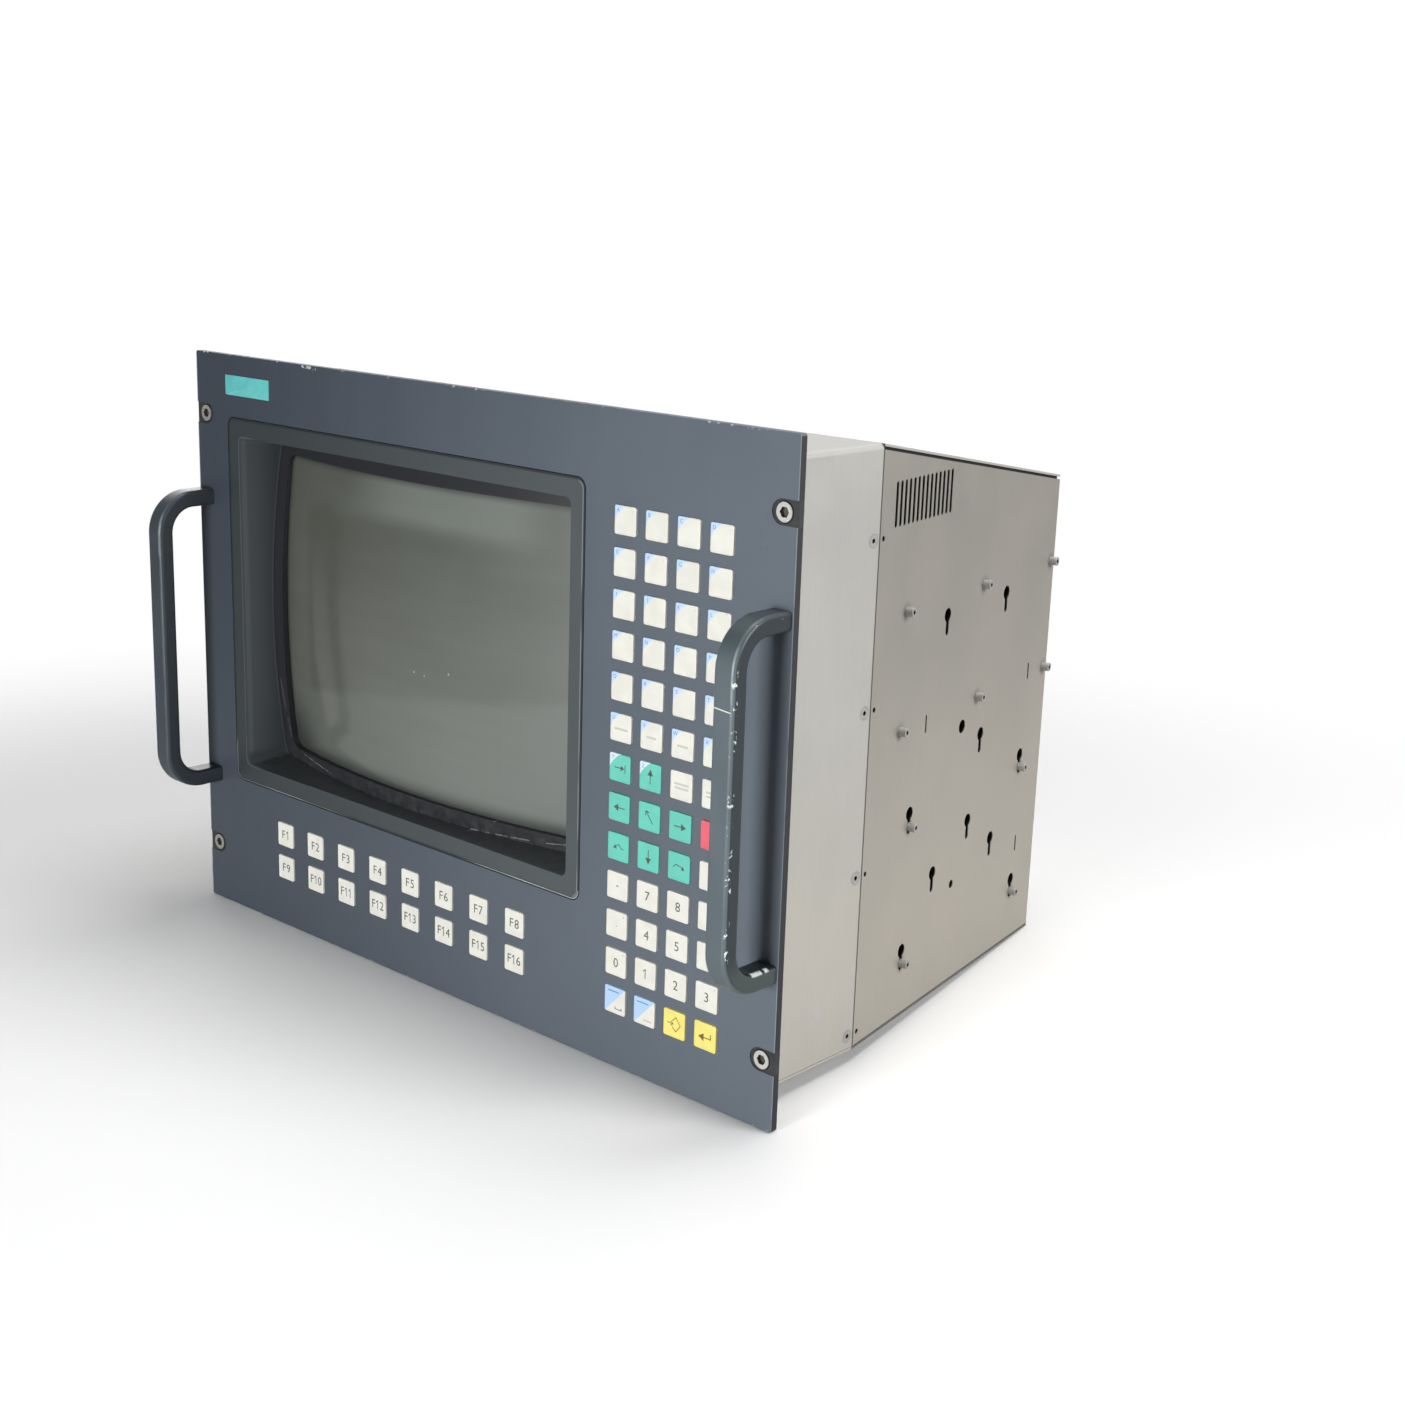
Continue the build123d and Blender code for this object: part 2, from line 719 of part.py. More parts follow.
def front_frame():
    """Folded frame behind the panel, with a flange to it and rounded upper edges"""
    height = case_top - wall_bottom
    middle_z = (case_top + wall_bottom) / 2
    outer = Pos(0, middle_z) * Rectangle(case_width, height)
    outer = fillet(outer.vertices().group_by(Axis.Y)[-1], case_edge_radius)
    inner = Pos(0, middle_z) * Rectangle(case_width - 2 * sheet, height - 2 * sheet)
    inner = fillet(inner.vertices().group_by(Axis.Y)[-1], case_edge_radius - sheet)
    mouth_inset = 2 * (sheet + flange_width)
    mouth = Pos(0, middle_z) * Rectangle(case_width - mouth_inset, height - mouth_inset)
    frame = slab(outer, panel_back, seam_y)
    frame -= slab(inner, panel_back + sheet, seam_y + cut_overrun)
    frame -= slab(mouth, panel_back - cut_overrun, panel_back + sheet + cut_overrun)
    stud_bore = frame_stud_diameter / 2 + screw_gap
    for x, z in frame_studs:
        frame -= rod(stud_bore, x, z, panel_back - cut_overrun, panel_back + sheet + cut_overrun)
    return frame - screw_cuts()


# The right wall's plane: its X runs along the wall and its Y is the level
wall_plane = Plane(
    origin=(case_width / 2, seam_y, level(0)),
    x_dir=(-math.sin(math.radians(side_taper)), math.cos(math.radians(side_taper)), 0),
    z_dir=(math.cos(math.radians(side_taper)), math.sin(math.radians(side_taper)), 0),
)


def wall_place(run_share, level_share):
    """Run and level of a place on the right wall"""
    return run_share * rear_section_length * taper_secant, case_low_margin + level_share * case_height


def wall_places(run_shares, level_shares):
    """Places where each run meets each level"""
    return [wall_place(run, height) for run in run_shares for height in level_shares]


def wall_cut(sketch):
    """Sketch on the right wall, cut through it"""
    return extrude(wall_plane * sketch, sheet + cut_overrun, both=True)


def upright_slot(run, low_level, height, width):
    """Upright slot with round ends"""
    return Pos(run, low_level + height / 2) * Rot(0, 0, quarter_turn) * SlotOverall(height, width)


def keyhole(run, height):
    """Round head with a narrow slot below it"""
    drop = keyhole_drop
    slot = Pos(run, height - drop / 2) * Rectangle(keyhole_slot_width, drop)
    slot_end = Pos(run, height - drop) * Circle(keyhole_slot_width / 2)
    return Pos(run, height) * Circle(keyhole_head_diameter / 2) + slot + slot_end


lower_studs = wall_places(stud_lower_run_shares, stud_lower_level_shares)
upper_studs = wall_places(stud_upper_run_shares, stud_upper_level_shares)


def side_vents():
    """Row of upright slots near the top of the wall"""
    low_level = case_low_margin + case_height - side_vent_drop - side_vent_height
    first_run = side_vent_run + vent_slot_width / 2
    return [upright_slot(first_run + slot * vent_pitch, low_level, side_vent_height, vent_slot_width)
            for slot in range(side_vent_slots)]


def wall_holes():
    """Small holes behind the front edge of the wall"""
    return [Pos(wall_hole_run, height) * Circle(wall_hole_diameter / 2) for height in case_screw_levels]


def right_wall_openings():
    """Keyholes, round holes, slits and stud holes of the right wall"""
    shapes = [keyhole(*wall_place(*shares)) for shares in zip(keyhole_run_shares, keyhole_level_shares)]
    shapes += [keyhole(run, height + hooked_keyhole_rise) for run, height in lower_studs]
    shapes += [Pos(run, height) * Circle(stud_shank_diameter / 2 + screw_gap) for run, height in upper_studs]
    round_place = wall_place(round_hole_run_share, round_hole_level_share)
    small_place = wall_place(small_hole_run_share, small_hole_level_share)
    shapes.append(Pos(*round_place) * Circle(round_hole_diameter / 2))
    shapes.append(Pos(*small_place) * Circle(small_hole_diameter / 2))
    shapes += [Pos(*wall_place(*shares)) * Rectangle(slit_width, slit_height)
               for shares in zip(slit_run_shares, slit_level_shares)]
    return shapes


inlet_z = level(inlet_level)
plug_z = level(plug_socket_level)
earth_z = level(earth_stud_level)
wall_back_inside = rear_y - sheet


def back_wall_openings():
    """Vents and socket openings of the rear wall"""
    first_x = -(back_vent_slots - 1) * vent_pitch / 2
    low_z = case_top - roof_drop - back_vent_drop - back_vent_height
    shapes = [upright_slot(first_x + slot * vent_pitch, low_z, back_vent_height, vent_slot_width)
              for slot in range(back_vent_slots)]
    shapes.append(Pos(inlet_x, inlet_z) * Rectangle(inlet_width, inlet_height))
    for x, width in zip(plug_socket_xs, plug_socket_widths):
        shell_width = width * plug_shell_share
        shapes.append(Pos(x, plug_z) * Rectangle(shell_width, plug_socket_height))
    return shapes


def rear_housing():
    """Folded shell of the tapered rear section: side walls, rear wall, flanges and tongues into the frame"""
    start_y = seam_y + seat_gap
    open_y = seam_y - cut_overrun
    shell = case_prism(0, start_y, wall_bottom, case_top) & under_roof(cover_underside_drop)
    room = case_prism(sheet, open_y, wall_bottom + sheet, case_top) & under_roof(cover_underside_drop + sheet)
    mouth = case_prism(sheet + flange_width, open_y, case_bottom, case_top + cut_overrun)
    shell = shell - room - mouth
    tongue_outer = case_width / 2 - sheet - screw_gap
    tongue_inner = tongue_outer - sheet
    tongue_low = wall_bottom + sheet + seat_gap
    tongue_high = case_top - case_edge_radius - cover_underside_drop
    weld_y = start_y + tongue_weld
    tongue = block(tongue_inner, tongue_outer, seam_y - tongue_reach, weld_y, tongue_low, tongue_high)
    tongue += block(tongue_inner, case_width / 2 - sheet, start_y, weld_y, tongue_low, tongue_high)
    shell += [tongue, mirror(tongue, about=Plane.YZ)]
    both_walls = wall_cut(Sketch() + side_vents() + wall_holes())
    shell -= [both_walls, mirror(both_walls, about=Plane.YZ)]
    shell -= wall_cut(Sketch() + right_wall_openings())
    shell -= slab(Sketch() + back_wall_openings(), wall_back_inside - cut_overrun, rear_y + cut_overrun)
    shell -= screw_cuts()
    shell += rod(earth_stud_diameter / 2, earth_stud_x, earth_z, rear_y, rear_y + earth_stud_length)
    return shell


def bottom_plate():
    """Flat plate under both sections, with air slots"""
    start_y = panel_back + seat_gap
    plate = block(-case_width / 2, case_width / 2, start_y, seam_y, case_bottom, floor_top)
    plate += case_prism(0, seam_y, case_bottom, floor_top)
    first_x = -(floor_vent_slots - 1) * vent_pitch / 2
    slot_low_y = seam_y + floor_vent_y_gap
    for slot in range(floor_vent_slots):
        x = first_x + slot * vent_pitch
        plate -= block(x - vent_slot_width / 2, x + vent_slot_width / 2, slot_low_y,
                       slot_low_y + floor_vent_length, case_bottom - cut_overrun, floor_top + cut_overrun)
    return plate


def top_cover():
    """Sloping cover plate on a narrower pad that seats on the housing"""
    start_y = seam_y + seat_gap
    plate = case_prism(0, start_y, case_bottom, case_top) & (under_roof(0) - under_roof(cover_thickness))
    pad = case_prism(cover_pad_inset, start_y + cover_pad_inset, case_bottom, case_top)
    return plate + (pad & (under_roof(cover_thickness) - under_roof(cover_underside_drop)))


def case_screws():
    """Countersunk screws that hold the rear section to the frame"""
    screws = []
    inner_x = case_width / 2 - case_screw_length
    socket = Rot(0, quarter_turn, 0) * extrude(hexagon(case_socket_width), 2 * case_socket_depth, both=False)
    for side in (-1, 1):
        for height in case_screw_levels:
            screw = side_screw(side, height, case_screw_head_diameter / 2, case_screw_diameter / 2, inner_x)
            start_x = case_width / 2 - case_socket_depth
            cut = Pos(start_x, seam_y - case_screw_setback, level(height)) * socket
            screw -= cut if side > 0 else mirror(cut, about=Plane.YZ)
            screws.append(screw)
    return Compound([solid for screw in screws for solid in screw.solids()])


def side_studs():
    """Threaded studs on the right wall; the lower ones hang in keyholes"""
    stud = Pos(0, 0, stud_height / 2) * Cylinder(stud_diameter / 2, stud_height)
    shank_length = sheet + stud_shank_inside
    stud += Pos(0, 0, -shank_length / 2) * Cylinder(stud_shank_diameter / 2, shank_length)
    thread_middle = stud_height - stud_thread_depth / 2
    stud -= Pos(0, 0, thread_middle) * Cylinder(stud_thread_diameter / 2, stud_thread_depth)
    studs = [wall_plane * Pos(run, height, 0) * stud for run, height in upper_studs + lower_studs]
    return Compound([solid for placed in studs for solid in placed.solids()])


def rear_sockets():
    """Mains inlet and two many-pin sockets in the rear wall"""
    inlet = block(inlet_x - inlet_width / 2 + screw_gap, inlet_x + inlet_width / 2 - screw_gap,
                  rear_y - inlet_depth, rear_y + inlet_proud,
                  inlet_z - inlet_height / 2 + screw_gap, inlet_z + inlet_height / 2 - screw_gap)
    cavity = Rectangle(inlet_width * inlet_cavity_share, inlet_height * inlet_cavity_share)
    cavity = chamfer(cavity.vertices().group_by(Axis.Y)[-1], inlet_corner_cut)
    cavity_end = rear_y - inlet_depth + inlet_proud
    inlet -= slab(Pos(inlet_x, inlet_z) * cavity, cavity_end, rear_y + inlet_proud + cut_overrun)
    for step in (-1, 0, 1):
        x = inlet_x + step * blade_pitch
        inlet += block(x - blade_thickness / 2, x + blade_thickness / 2, cavity_end, rear_y,
                       inlet_z - blade_height / 2, inlet_z + blade_height / 2)
    pieces = [inlet]
    for x, width in zip(plug_socket_xs, plug_socket_widths):
        shell_width = width * plug_shell_share - 2 * screw_gap
        shell_height = plug_socket_height - 2 * screw_gap
        body = Pos(x, plug_z) * Rectangle(shell_width, shell_height)
        flange = Pos(x, plug_z) * Rectangle(width, plug_socket_height)
        socket = slab(body, rear_y - plug_socket_depth, rear_y + plug_shell_proud)
        socket += slab(flange, rear_y, rear_y + plug_flange_proud)
        pieces.append(socket)
    return Compound([solid for piece in pieces for solid in piece.solids()])


def monitor_boards():
    """Main board on posts, with its transformers, capacitors and heatsink, and the tube's neck board"""
    low_y = seam_y + main_board_front_gap
    high_y = low_y + main_board_length
    half = main_board_width / 2
    board_low = floor_top + main_board_lift
    board_top = board_low + board_thickness
    board = block(-half, half, low_y, high_y, board_low, board_top)
    post = board_post_diameter / 2
    for x in (-half + board_post_diameter, half - board_post_diameter):
        for y in (low_y + board_post_diameter, high_y - board_post_diameter):
            board += upright(post, x, y, floor_top, board_low)
    board += block(-half + board_post_diameter, -half + board_post_diameter + transformer_width,
                   low_y + 2 * board_post_diameter, low_y + 2 * board_post_diameter + transformer_length,
                   board_top, board_top + transformer_height)
    board += upright(line_transformer_diameter / 2, half - line_transformer_diameter,
                     high_y - line_transformer_diameter, board_top, board_top + line_transformer_height)
    first_x = -(capacitor_count - 1) * capacitor_pitch / 2
    for place in range(capacitor_count):
        board += upright(capacitor_diameter / 2, first_x + place * capacitor_pitch,
                         low_y + capacitor_diameter, board_top, board_top + capacitor_height)
    sink_y = high_y - 2 * heatsink_fin_length
    sink_low = -heatsink_width / 2
    sink_top = board_top + heatsink_height
    fin_start = sink_y + heatsink_base
    board += block(sink_low, -sink_low, sink_y, fin_start, board_top, sink_top)
    fin_pitch = (heatsink_width - heatsink_fin_thickness) / (heatsink_fins - 1)
    for fin in range(heatsink_fins):
        x = sink_low + fin * fin_pitch
        board += block(x, x + heatsink_fin_thickness, fin_start, fin_start + heatsink_fin_length,
                       board_top, sink_top)
    neck_end = depth(neck_end_depth)
    neck_board = slab(Pos(screen_x, screen_z) * Rectangle(neck_board_size, neck_board_size),
                      neck_end + seat_gap, neck_end + seat_gap + board_thickness)
    collar_start = neck_end - neck_socket_length
    collar_end = neck_end + seat_gap
    collar = rod(neck_socket_diameter / 2, screen_x, screen_z, collar_start, collar_end)
    collar -= rod(neck_diameter / 2 + seat_gap, screen_x, screen_z,
                  collar_start - cut_overrun, collar_end + cut_overrun)
    neck_board += collar
    return Compound([solid for piece in (board, neck_board) for solid in piece.solids()])


# Every piece under its own name

def all_pieces():
    pieces = {
        "front_panel": front_panel(),
        "rack_bushes": rack_bushes(),
        "rack_screws": rack_screws(),
        "left_handle": handle(-1),
        "right_handle": handle(1),
        "panel_screws": panel_screws(),
        "key_board": key_board(),
        "screen_bezel": screen_bezel(),
        "picture_tube": picture_tube(),
        "tube_mount": tube_mount(),
        "deflection_yoke": deflection_yoke(),
        "front_frame": front_frame(),
        "rear_housing": rear_housing(),
        "bottom_plate": bottom_plate(),
        "top_cover": top_cover(),
        "case_screws": case_screws(),
        "side_studs": side_studs(),
        "rear_sockets": rear_sockets(),
        "monitor_boards": monitor_boards(),
    }
    letters = [key_cap(*place) for place in keypad_places[:letter_rows * keypad_columns]]
    pieces["letter_keys"] = Compound([solid for cap in letters for solid in cap.solids()])
    for row, names in enumerate(single_key_names):
        for column, name in enumerate(names):
            pieces[name] = key_cap(*keypad_place(letter_rows + row, column))
    for number, (x, z) in enumerate(function_places, start=1):
        pieces[f"key_f{number}"] = key_cap(x, z)
    return pieces


os.makedirs("parts", exist_ok=True)
for name, piece in all_pieces().items():
    export_step(piece, f"parts/{name}.step")
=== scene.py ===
import math

import bpy
from mathutils import Matrix, Vector


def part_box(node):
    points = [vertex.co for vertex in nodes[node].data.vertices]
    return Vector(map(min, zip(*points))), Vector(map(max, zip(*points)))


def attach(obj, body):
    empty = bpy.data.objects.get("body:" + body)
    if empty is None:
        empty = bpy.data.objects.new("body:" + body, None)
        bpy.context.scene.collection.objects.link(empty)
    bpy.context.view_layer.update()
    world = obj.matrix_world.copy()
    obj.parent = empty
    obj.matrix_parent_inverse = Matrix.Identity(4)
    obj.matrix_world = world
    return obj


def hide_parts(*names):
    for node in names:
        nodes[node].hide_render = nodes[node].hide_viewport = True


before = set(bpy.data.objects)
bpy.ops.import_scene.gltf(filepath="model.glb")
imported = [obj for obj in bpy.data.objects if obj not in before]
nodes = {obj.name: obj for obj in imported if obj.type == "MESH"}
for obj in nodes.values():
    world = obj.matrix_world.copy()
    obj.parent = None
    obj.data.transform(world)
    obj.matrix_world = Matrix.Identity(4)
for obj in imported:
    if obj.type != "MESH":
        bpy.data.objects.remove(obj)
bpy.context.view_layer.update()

# An industrial operator panel in the frame's axes: X to the right, Y to the rear, Z up. Metres.
MM = 0.001

# Camera
CAMERA_PLACE = (0.8266, -0.7296, 0.2919)
CAMERA_TURN = (75.268, -1.818, 42.015)
CAMERA_LENS = 51.453
CAMERA_SENSOR = 36.0

# Room
ROOM_LIGHT = (0.055, 0.055, 0.055, 1.0)
DARK_FRONT = (0.05, 0.06, 0.07, 1.0)
GREY_FRONT = (0.22, 0.23, 0.24, 1.0)
PALE_RIGHT = (0.55, 0.55, 0.55, 1.0)
WHITE = (1.0, 1.0, 1.0, 1.0)
FLOOR_SIZE = 12.0
FLOOR_GAP = 0.3 * MM
FLOOR_FADE = (0.45, 0.95)
LAMPS = {
    "lamp_front": {"place": (0.29, -1.85, 0.1), "power": 33.4, "size": 0.6},
    "lamp_right": {"place": (1.7, 0.45, 0.6), "power": 24.0, "size": 0.9},
    "lamp_top": {"place": (0.2, 0.4, 1.9), "power": 25.5, "size": 1.2},
    "lamp_left": {"place": (-1.7, 0.7, 0.5), "power": 5.0, "size": 0.9},
}

# Keys: a cap's outline is drawn in from its node's box by the flange behind the panel
FLANGE_RIM = 1.5 * MM
FLANGE_DEPTH = 1.2 * MM
CAP_RIM = 0.5 * MM
CAP_DISH = 0.16 * MM
CAP_CORNER = 1.1 * MM
CAP_EDGE = 0.22 * MM
KEYPAD_COLUMNS = 4
LETTER_ROWS = 7
FUNCTION_COLUMNS = 8
FUNCTION_ROWS = 2
SMOOTH_ANGLE = math.radians(35)

# Printed signs: a step is a share of their height, for one, two and three signs in a row
LEGEND_RAISE = 0.03 * MM
LEGEND_STEP = (0.0, 0.74, 0.66)
CAPITAL_SHARE = 0.73
FUNCTION_TEXT = 5.6 * MM
DIGIT_TEXT = 5.4 * MM
LETTER_TEXT = 2.2 * MM
LETTERS = "ABCDEFGHIJKLMNOPQRSTUVWXYZ"
LETTER_SPOT = (-5.2, 5.1)
RING_SIDES = 10
TOP_BAR = ((-5.0, 4.9), (2.6, 4.9))
BAR_REACHES = (4.2, 2.8, 3.0)
GREEN_LETTER_SIGNS = ("tab", "up")

# Signs by name: lines through places of the key's face in millimetres, their width, and a solid head by its
# place, its turn in degrees and its size
SIGNS = {
    "tab": ([[(-3.8, 0), (1.0, 0)], [(3.6, 2.0), (3.6, -2.0)]], 0.55, (1.4, 0, 0, 1.7)),
    "up": ([[(0, -3.6), (0, 1.4)]], 0.55, (0, 1.8, 90, 2.3)),
    "left": ([[(3.8, 0), (-1.4, 0)]], 0.55, (-1.8, 0, 180, 2.3)),
    "home": ([[(2.4, -3.0), (-2.4, 3.0)], [(-2.6, 0.8), (-2.4, 3.0), (-0.4, 2.6)]], 0.55, None),
    "right": ([[(-3.8, 0), (1.4, 0)]], 0.55, (1.8, 0, 0, 2.3)),
    "previous": ([[(-1.6, 0.3), (-0.6, 1.2), (0.5, 1.3), (1.4, 0.2), (2.3, -0.5), (3.8, -0.6)]], 0.45,
                 (-2.4, -0.3, 210, 1.5)),
    "down": ([[(0, 3.6), (0, -1.4)]], 0.55, (0, -1.8, 270, 2.3)),
    "next": ([[(-4.0, -0.6), (-2.6, 0.8), (-1.4, 1.2), (-0.4, 0.5), (0.5, 0.9), (1.8, 0.1)]], 0.45,
             (2.6, -0.4, 330, 1.5)),
    "input": ([[(-1.2, 1.8), (1.2, 4.0), (4.3, 0), (1.2, -4.0), (-1.2, -1.8)],
               [(-4.6, 0), (-0.8, 0)], [(-2.4, 1.2), (-0.8, 0), (-2.4, -1.2)]], 0.45, None),
    "enter": ([[(-1.8, -0.7), (3.8, -0.7), (3.8, 1.6)]], 0.55, (-2.2, -0.7, 180, 2.5)),
    "space": ([[(0.2, -3.6), (0.2, -4.7), (4.8, -4.7), (4.8, -3.6)]], 0.45, None),
}

# Bare plate at the panel's upper left
PLATE_LEFT = -211.0 * MM
PLATE_RIGHT = -167.6 * MM
PLATE_LOW = 153.2 * MM
PLATE_HIGH = 165.2 * MM
PLATE_RAISE = 0.5 * MM
PLATE_ROUND = 0.6 * MM

# Screen opening in the panel and the mouth of its recess: left, right, low, high and corner radius
OPENING = (-210.05 * MM, 100.25 * MM, -90.9 * MM, 139.6 * MM, 6.0 * MM)
MOUTH = (-199.6 * MM, 89.8 * MM, -79.5 * MM, 128.2 * MM, 4.0 * MM)
WINDOW = (-184.4 * MM, 74.6 * MM, -69.0 * MM, 117.7 * MM, 7.0 * MM)

# Ledge round the glass: depth behind the lip at its middle, place of the middle and radii both ways
LEDGE_DEPTH = 4.4 * MM
LEDGE_X = -54.9 * MM
LEDGE_Z = 20.6 * MM
LEDGE_ACROSS = 590.0 * MM
LEDGE_UPRIGHT = 620.0 * MM

# Scratches on the bezel, each from a place to a place of the front in millimetres
BEZEL_SCRATCHES = (((-193.6, -26.0), (-185.6, -65.9)), ((-173.6, -70.7), (-136.2, -75.4)),
                   ((-3.5, -78.1), (40.0, -75.5)), ((52.0, -74.6), (73.4, -72.0)))

# Handles: outer radius of the bends, thickness of the bar, radius of the long edges, and the chipped
# stretches of the right one by their level and reach in millimetres
HANDLE_BEND = 25.3 * MM
HANDLE_THICK = 10.1 * MM
HANDLE_EDGE = 2.4 * MM
CHIP_CLUSTERS = ((66, 3), (52, 2), (38, 2), (30, 1), (7, 2), (-4, 1), (-19, 1), (-33, 5), (-58, 3), (-71, 3))

# Case: half width, seam between the sections, roof at the seam, fall of the roof and taper of the side walls
CASE_HALF = 220.0 * MM
SEAM_Y = 87.5 * MM
CASE_TOP = 163.6 * MM
ROOF_FALL = 0.1749
SIDE_TAPER = math.radians(9.5)
CASE_REAR = 318.5 * MM
COVER_EDGE = 1.3 * MM
STUD_PITCH = 0.9 * MM

# Screws and studs, in millimetres: across and up on the front, or to the rear and up on the side walls
CASE_SCREW_Y = 82.5
CASE_SCREW_LEVELS = (-158.4, -67.5, 23.4, 114.3)
STUD_PLACES = ((36.0, 71.1), (133.5, 71.1), (229.0, 71.1), (36.0, 4.9), (133.5, 4.9), (229.0, 4.9),
               (54.0, -53.7), (54.0, -134.7), (203.4, -53.7), (203.4, -134.7))
RACK_SCREW_PLACES = ((-232.55, -139.7), (-232.55, 139.7), (232.55, -139.7), (232.55, 139.7))


# Small tools

def deselect():
    bpy.ops.object.select_all(action="DESELECT")


def pick(*objects):
    deselect()
    for piece in objects:
        piece.select_set(True)
    bpy.context.view_layer.objects.active = objects[0]


def centre_of(node):
    low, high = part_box(node)
    return (low + high) / 2


def tone(red, green, blue):
    """Linear colour of a paint given in the 255 steps of a screen"""
    steps = (red / 255, green / 255, blue / 255)
    return tuple(s / 12.92 if s <= 0.04045 else ((s + 0.055) / 1.055) ** 2.4 for s in steps) + (1.0,)


def shaded(colour, share, lift=0.0):
    """Colour whose channels are lowered to a share of themselves and then raised by lift"""
    return tuple(share * channel + lift for channel in colour[:3]) + (1.0,)


# Shader maths

class Value:
    """A socket with what it carries; sums on it add their Math nodes"""

    def __init__(self, web, socket):
        self.web = web
        self.socket = socket

    def maths(self, operation, *values):
        return self.web.node("ShaderNodeMath", {"operation": operation}, dict(enumerate(values)))

    def __add__(self, other):
        return self.maths("ADD", self, other)

    def __sub__(self, other):
        return self.maths("SUBTRACT", self, other)

    def __rsub__(self, other):
        return self.maths("SUBTRACT", other, self)

    def __mul__(self, other):
        return self.maths("MULTIPLY", self, other)

    def __abs__(self):
        return self.maths("ABSOLUTE", self)

    __radd__ = __add__
    __rmul__ = __mul__

    def least(self, other):
        return self.maths("MINIMUM", self, other)

    def most(self, other):
        return self.maths("MAXIMUM", self, other)

    def ramp(self, start, end, low=0.0, high=1.0):
        """Goes smoothly from low to high while this goes from start to end"""
        return self.web.node("ShaderNodeMapRange", {"interpolation_type": "SMOOTHSTEP"}, {
            "Value": self, "From Min": start, "From Max": end, "To Min": low, "To Max": high})

    def fall(self, start, end):
        """Goes smoothly from 1 to 0 while this goes from start to end"""
        return self.ramp(start, end, 1.0, 0.0)

    def root(self):
        return self.maths("SQRT", self)

    def between(self, low, high, soft):
        """1 from low to high, falling to 0 over soft on either side"""
        return self.ramp(low - soft, low) * self.fall(high, high + soft)


def greatest(values):
    """The greatest of some values at each place"""
    first, *others = values
    for value in others:
        first = first.most(value)
    return first


class Web:
    """A tree of shader nodes"""

    def __init__(self, tree):
        self.tree = tree
        self.tree.nodes.clear()

    def node(self, kind, settings, sockets, output=0):
        node = self.tree.nodes.new(kind)
        for name, value in settings.items():
            setattr(node, name, value)
        for name, value in sockets.items():
            if isinstance(value, Value):
                self.tree.links.new(value.socket, node.inputs[name])
            else:
                node.inputs[name].default_value = value
        return Value(self, node.outputs[output])

    def mix(self, share, first, second):
        """Colour that goes from first to second as share goes from 0 to 1"""
        return self.node("ShaderNodeMix", {"data_type": "RGBA"}, {0: share, 6: first, 7: second}, 2)


class Finish(Web):
    """A surface finish: a principled shader whose fixed values are given by name, and its patterns"""

    def __init__(self, name, colour, roughness, metallic=0.0, coat=0.0, coat_roughness=0.1, specular=0.5):
        self.material = bpy.data.materials.new(name)
        self.material.use_nodes = True
        super().__init__(self.material.node_tree)
        self.shader = self.tree.nodes.new("ShaderNodeBsdfPrincipled")
        output = self.tree.nodes.new("ShaderNodeOutputMaterial")
        self.tree.links.new(self.shader.outputs["BSDF"], output.inputs["Surface"])
        fixed = {"Base Color": colour, "Roughness": roughness, "Metallic": metallic, "Coat Weight": coat,
                 "Coat Roughness": coat_roughness, "Specular IOR Level": specular}
        for socket, value in fixed.items():
            self.shader.inputs[socket].default_value = value
        self.place = self.node("ShaderNodeTexCoord", {}, {}, "Object")
        self.x, self.y, self.z = (
            self.node("ShaderNodeSeparateXYZ", {}, {"Vector": self.place}, axis) for axis in "XYZ")

    def feed(self, socket, value):
        self.tree.links.new(value.socket, self.shader.inputs[socket])

    def noise(self, size, detail=2.0, roughness=0.5, stretch=(1, 1, 1)):
        """Clouds from 0 to 1, about size across, and longer along an axis by its stretch"""
        spread = self.node("ShaderNodeMapping", {"vector_type": "POINT"}, {
            "Vector": self.place, "Scale": [1 / (size * longer) for longer in stretch]})
        return self.node("ShaderNodeTexNoise", {}, {
            "Vector": spread, "Scale": 1.0, "Detail": detail, "Roughness": roughness})

    def bump(self, height, distance):
        self.feed("Normal", self.node("ShaderNodeBump", {}, {
            "Height": height, "Distance": distance, "Strength": 1.0}))

    def line(self, start, end, width):
        """1 on a straight line between two places of the front, given by X and Z in millimetres"""
        start = Vector(start) * MM
        along = Vector(end) * MM - start
        length = along.length
        along = along / length
        run = (self.x - start.x) * along.x + (self.z - start.y) * along.y
        aside = abs((self.x - start.x) * along.y - (self.z - start.y) * along.x)
        return aside.fall(width * MM / 2, width * MM) * run.between(0, length, width * MM)

    def away(self, first, second, places):
        """Distance of two coordinates from the nearest of some places, given in millimetres"""
        nearest = None
        for place in places:
            aside = first - place[0] * MM
            upright = second - place[1] * MM
            distance = (aside * aside + upright * upright).root()
            nearest = distance if nearest is None else nearest.least(distance)
        return nearest

    def spot(self, place, radius, soft):
        """1 inside a round spot of the front, given by X and Z in millimetres"""
        return self.away(self.x, self.z, [place]).fall(radius * MM, (radius + soft) * MM)

    def outside(self, left, right, low, high, corner):
        """Distance outwards from a rectangle of the front with round corners, less than 0 inside it"""
        across = abs(self.x - (left + right) / 2) - ((right - left) / 2 - corner)
        upright = abs(self.z - (low + high) / 2) - ((high - low) / 2 - corner)
        far_across = across.most(0)
        far_upright = upright.most(0)
        reach = (far_across * far_across + far_upright * far_upright).root()
        return reach + across.most(upright).least(0) - corner


# Camera, room and floor

def add_camera():
    bpy.ops.object.camera_add(location=CAMERA_PLACE, rotation=[math.radians(turn) for turn in CAMERA_TURN])
    camera = bpy.context.object
    camera.data.lens = CAMERA_LENS
    camera.data.sensor_width = CAMERA_SENSOR
    bpy.context.scene.camera = camera


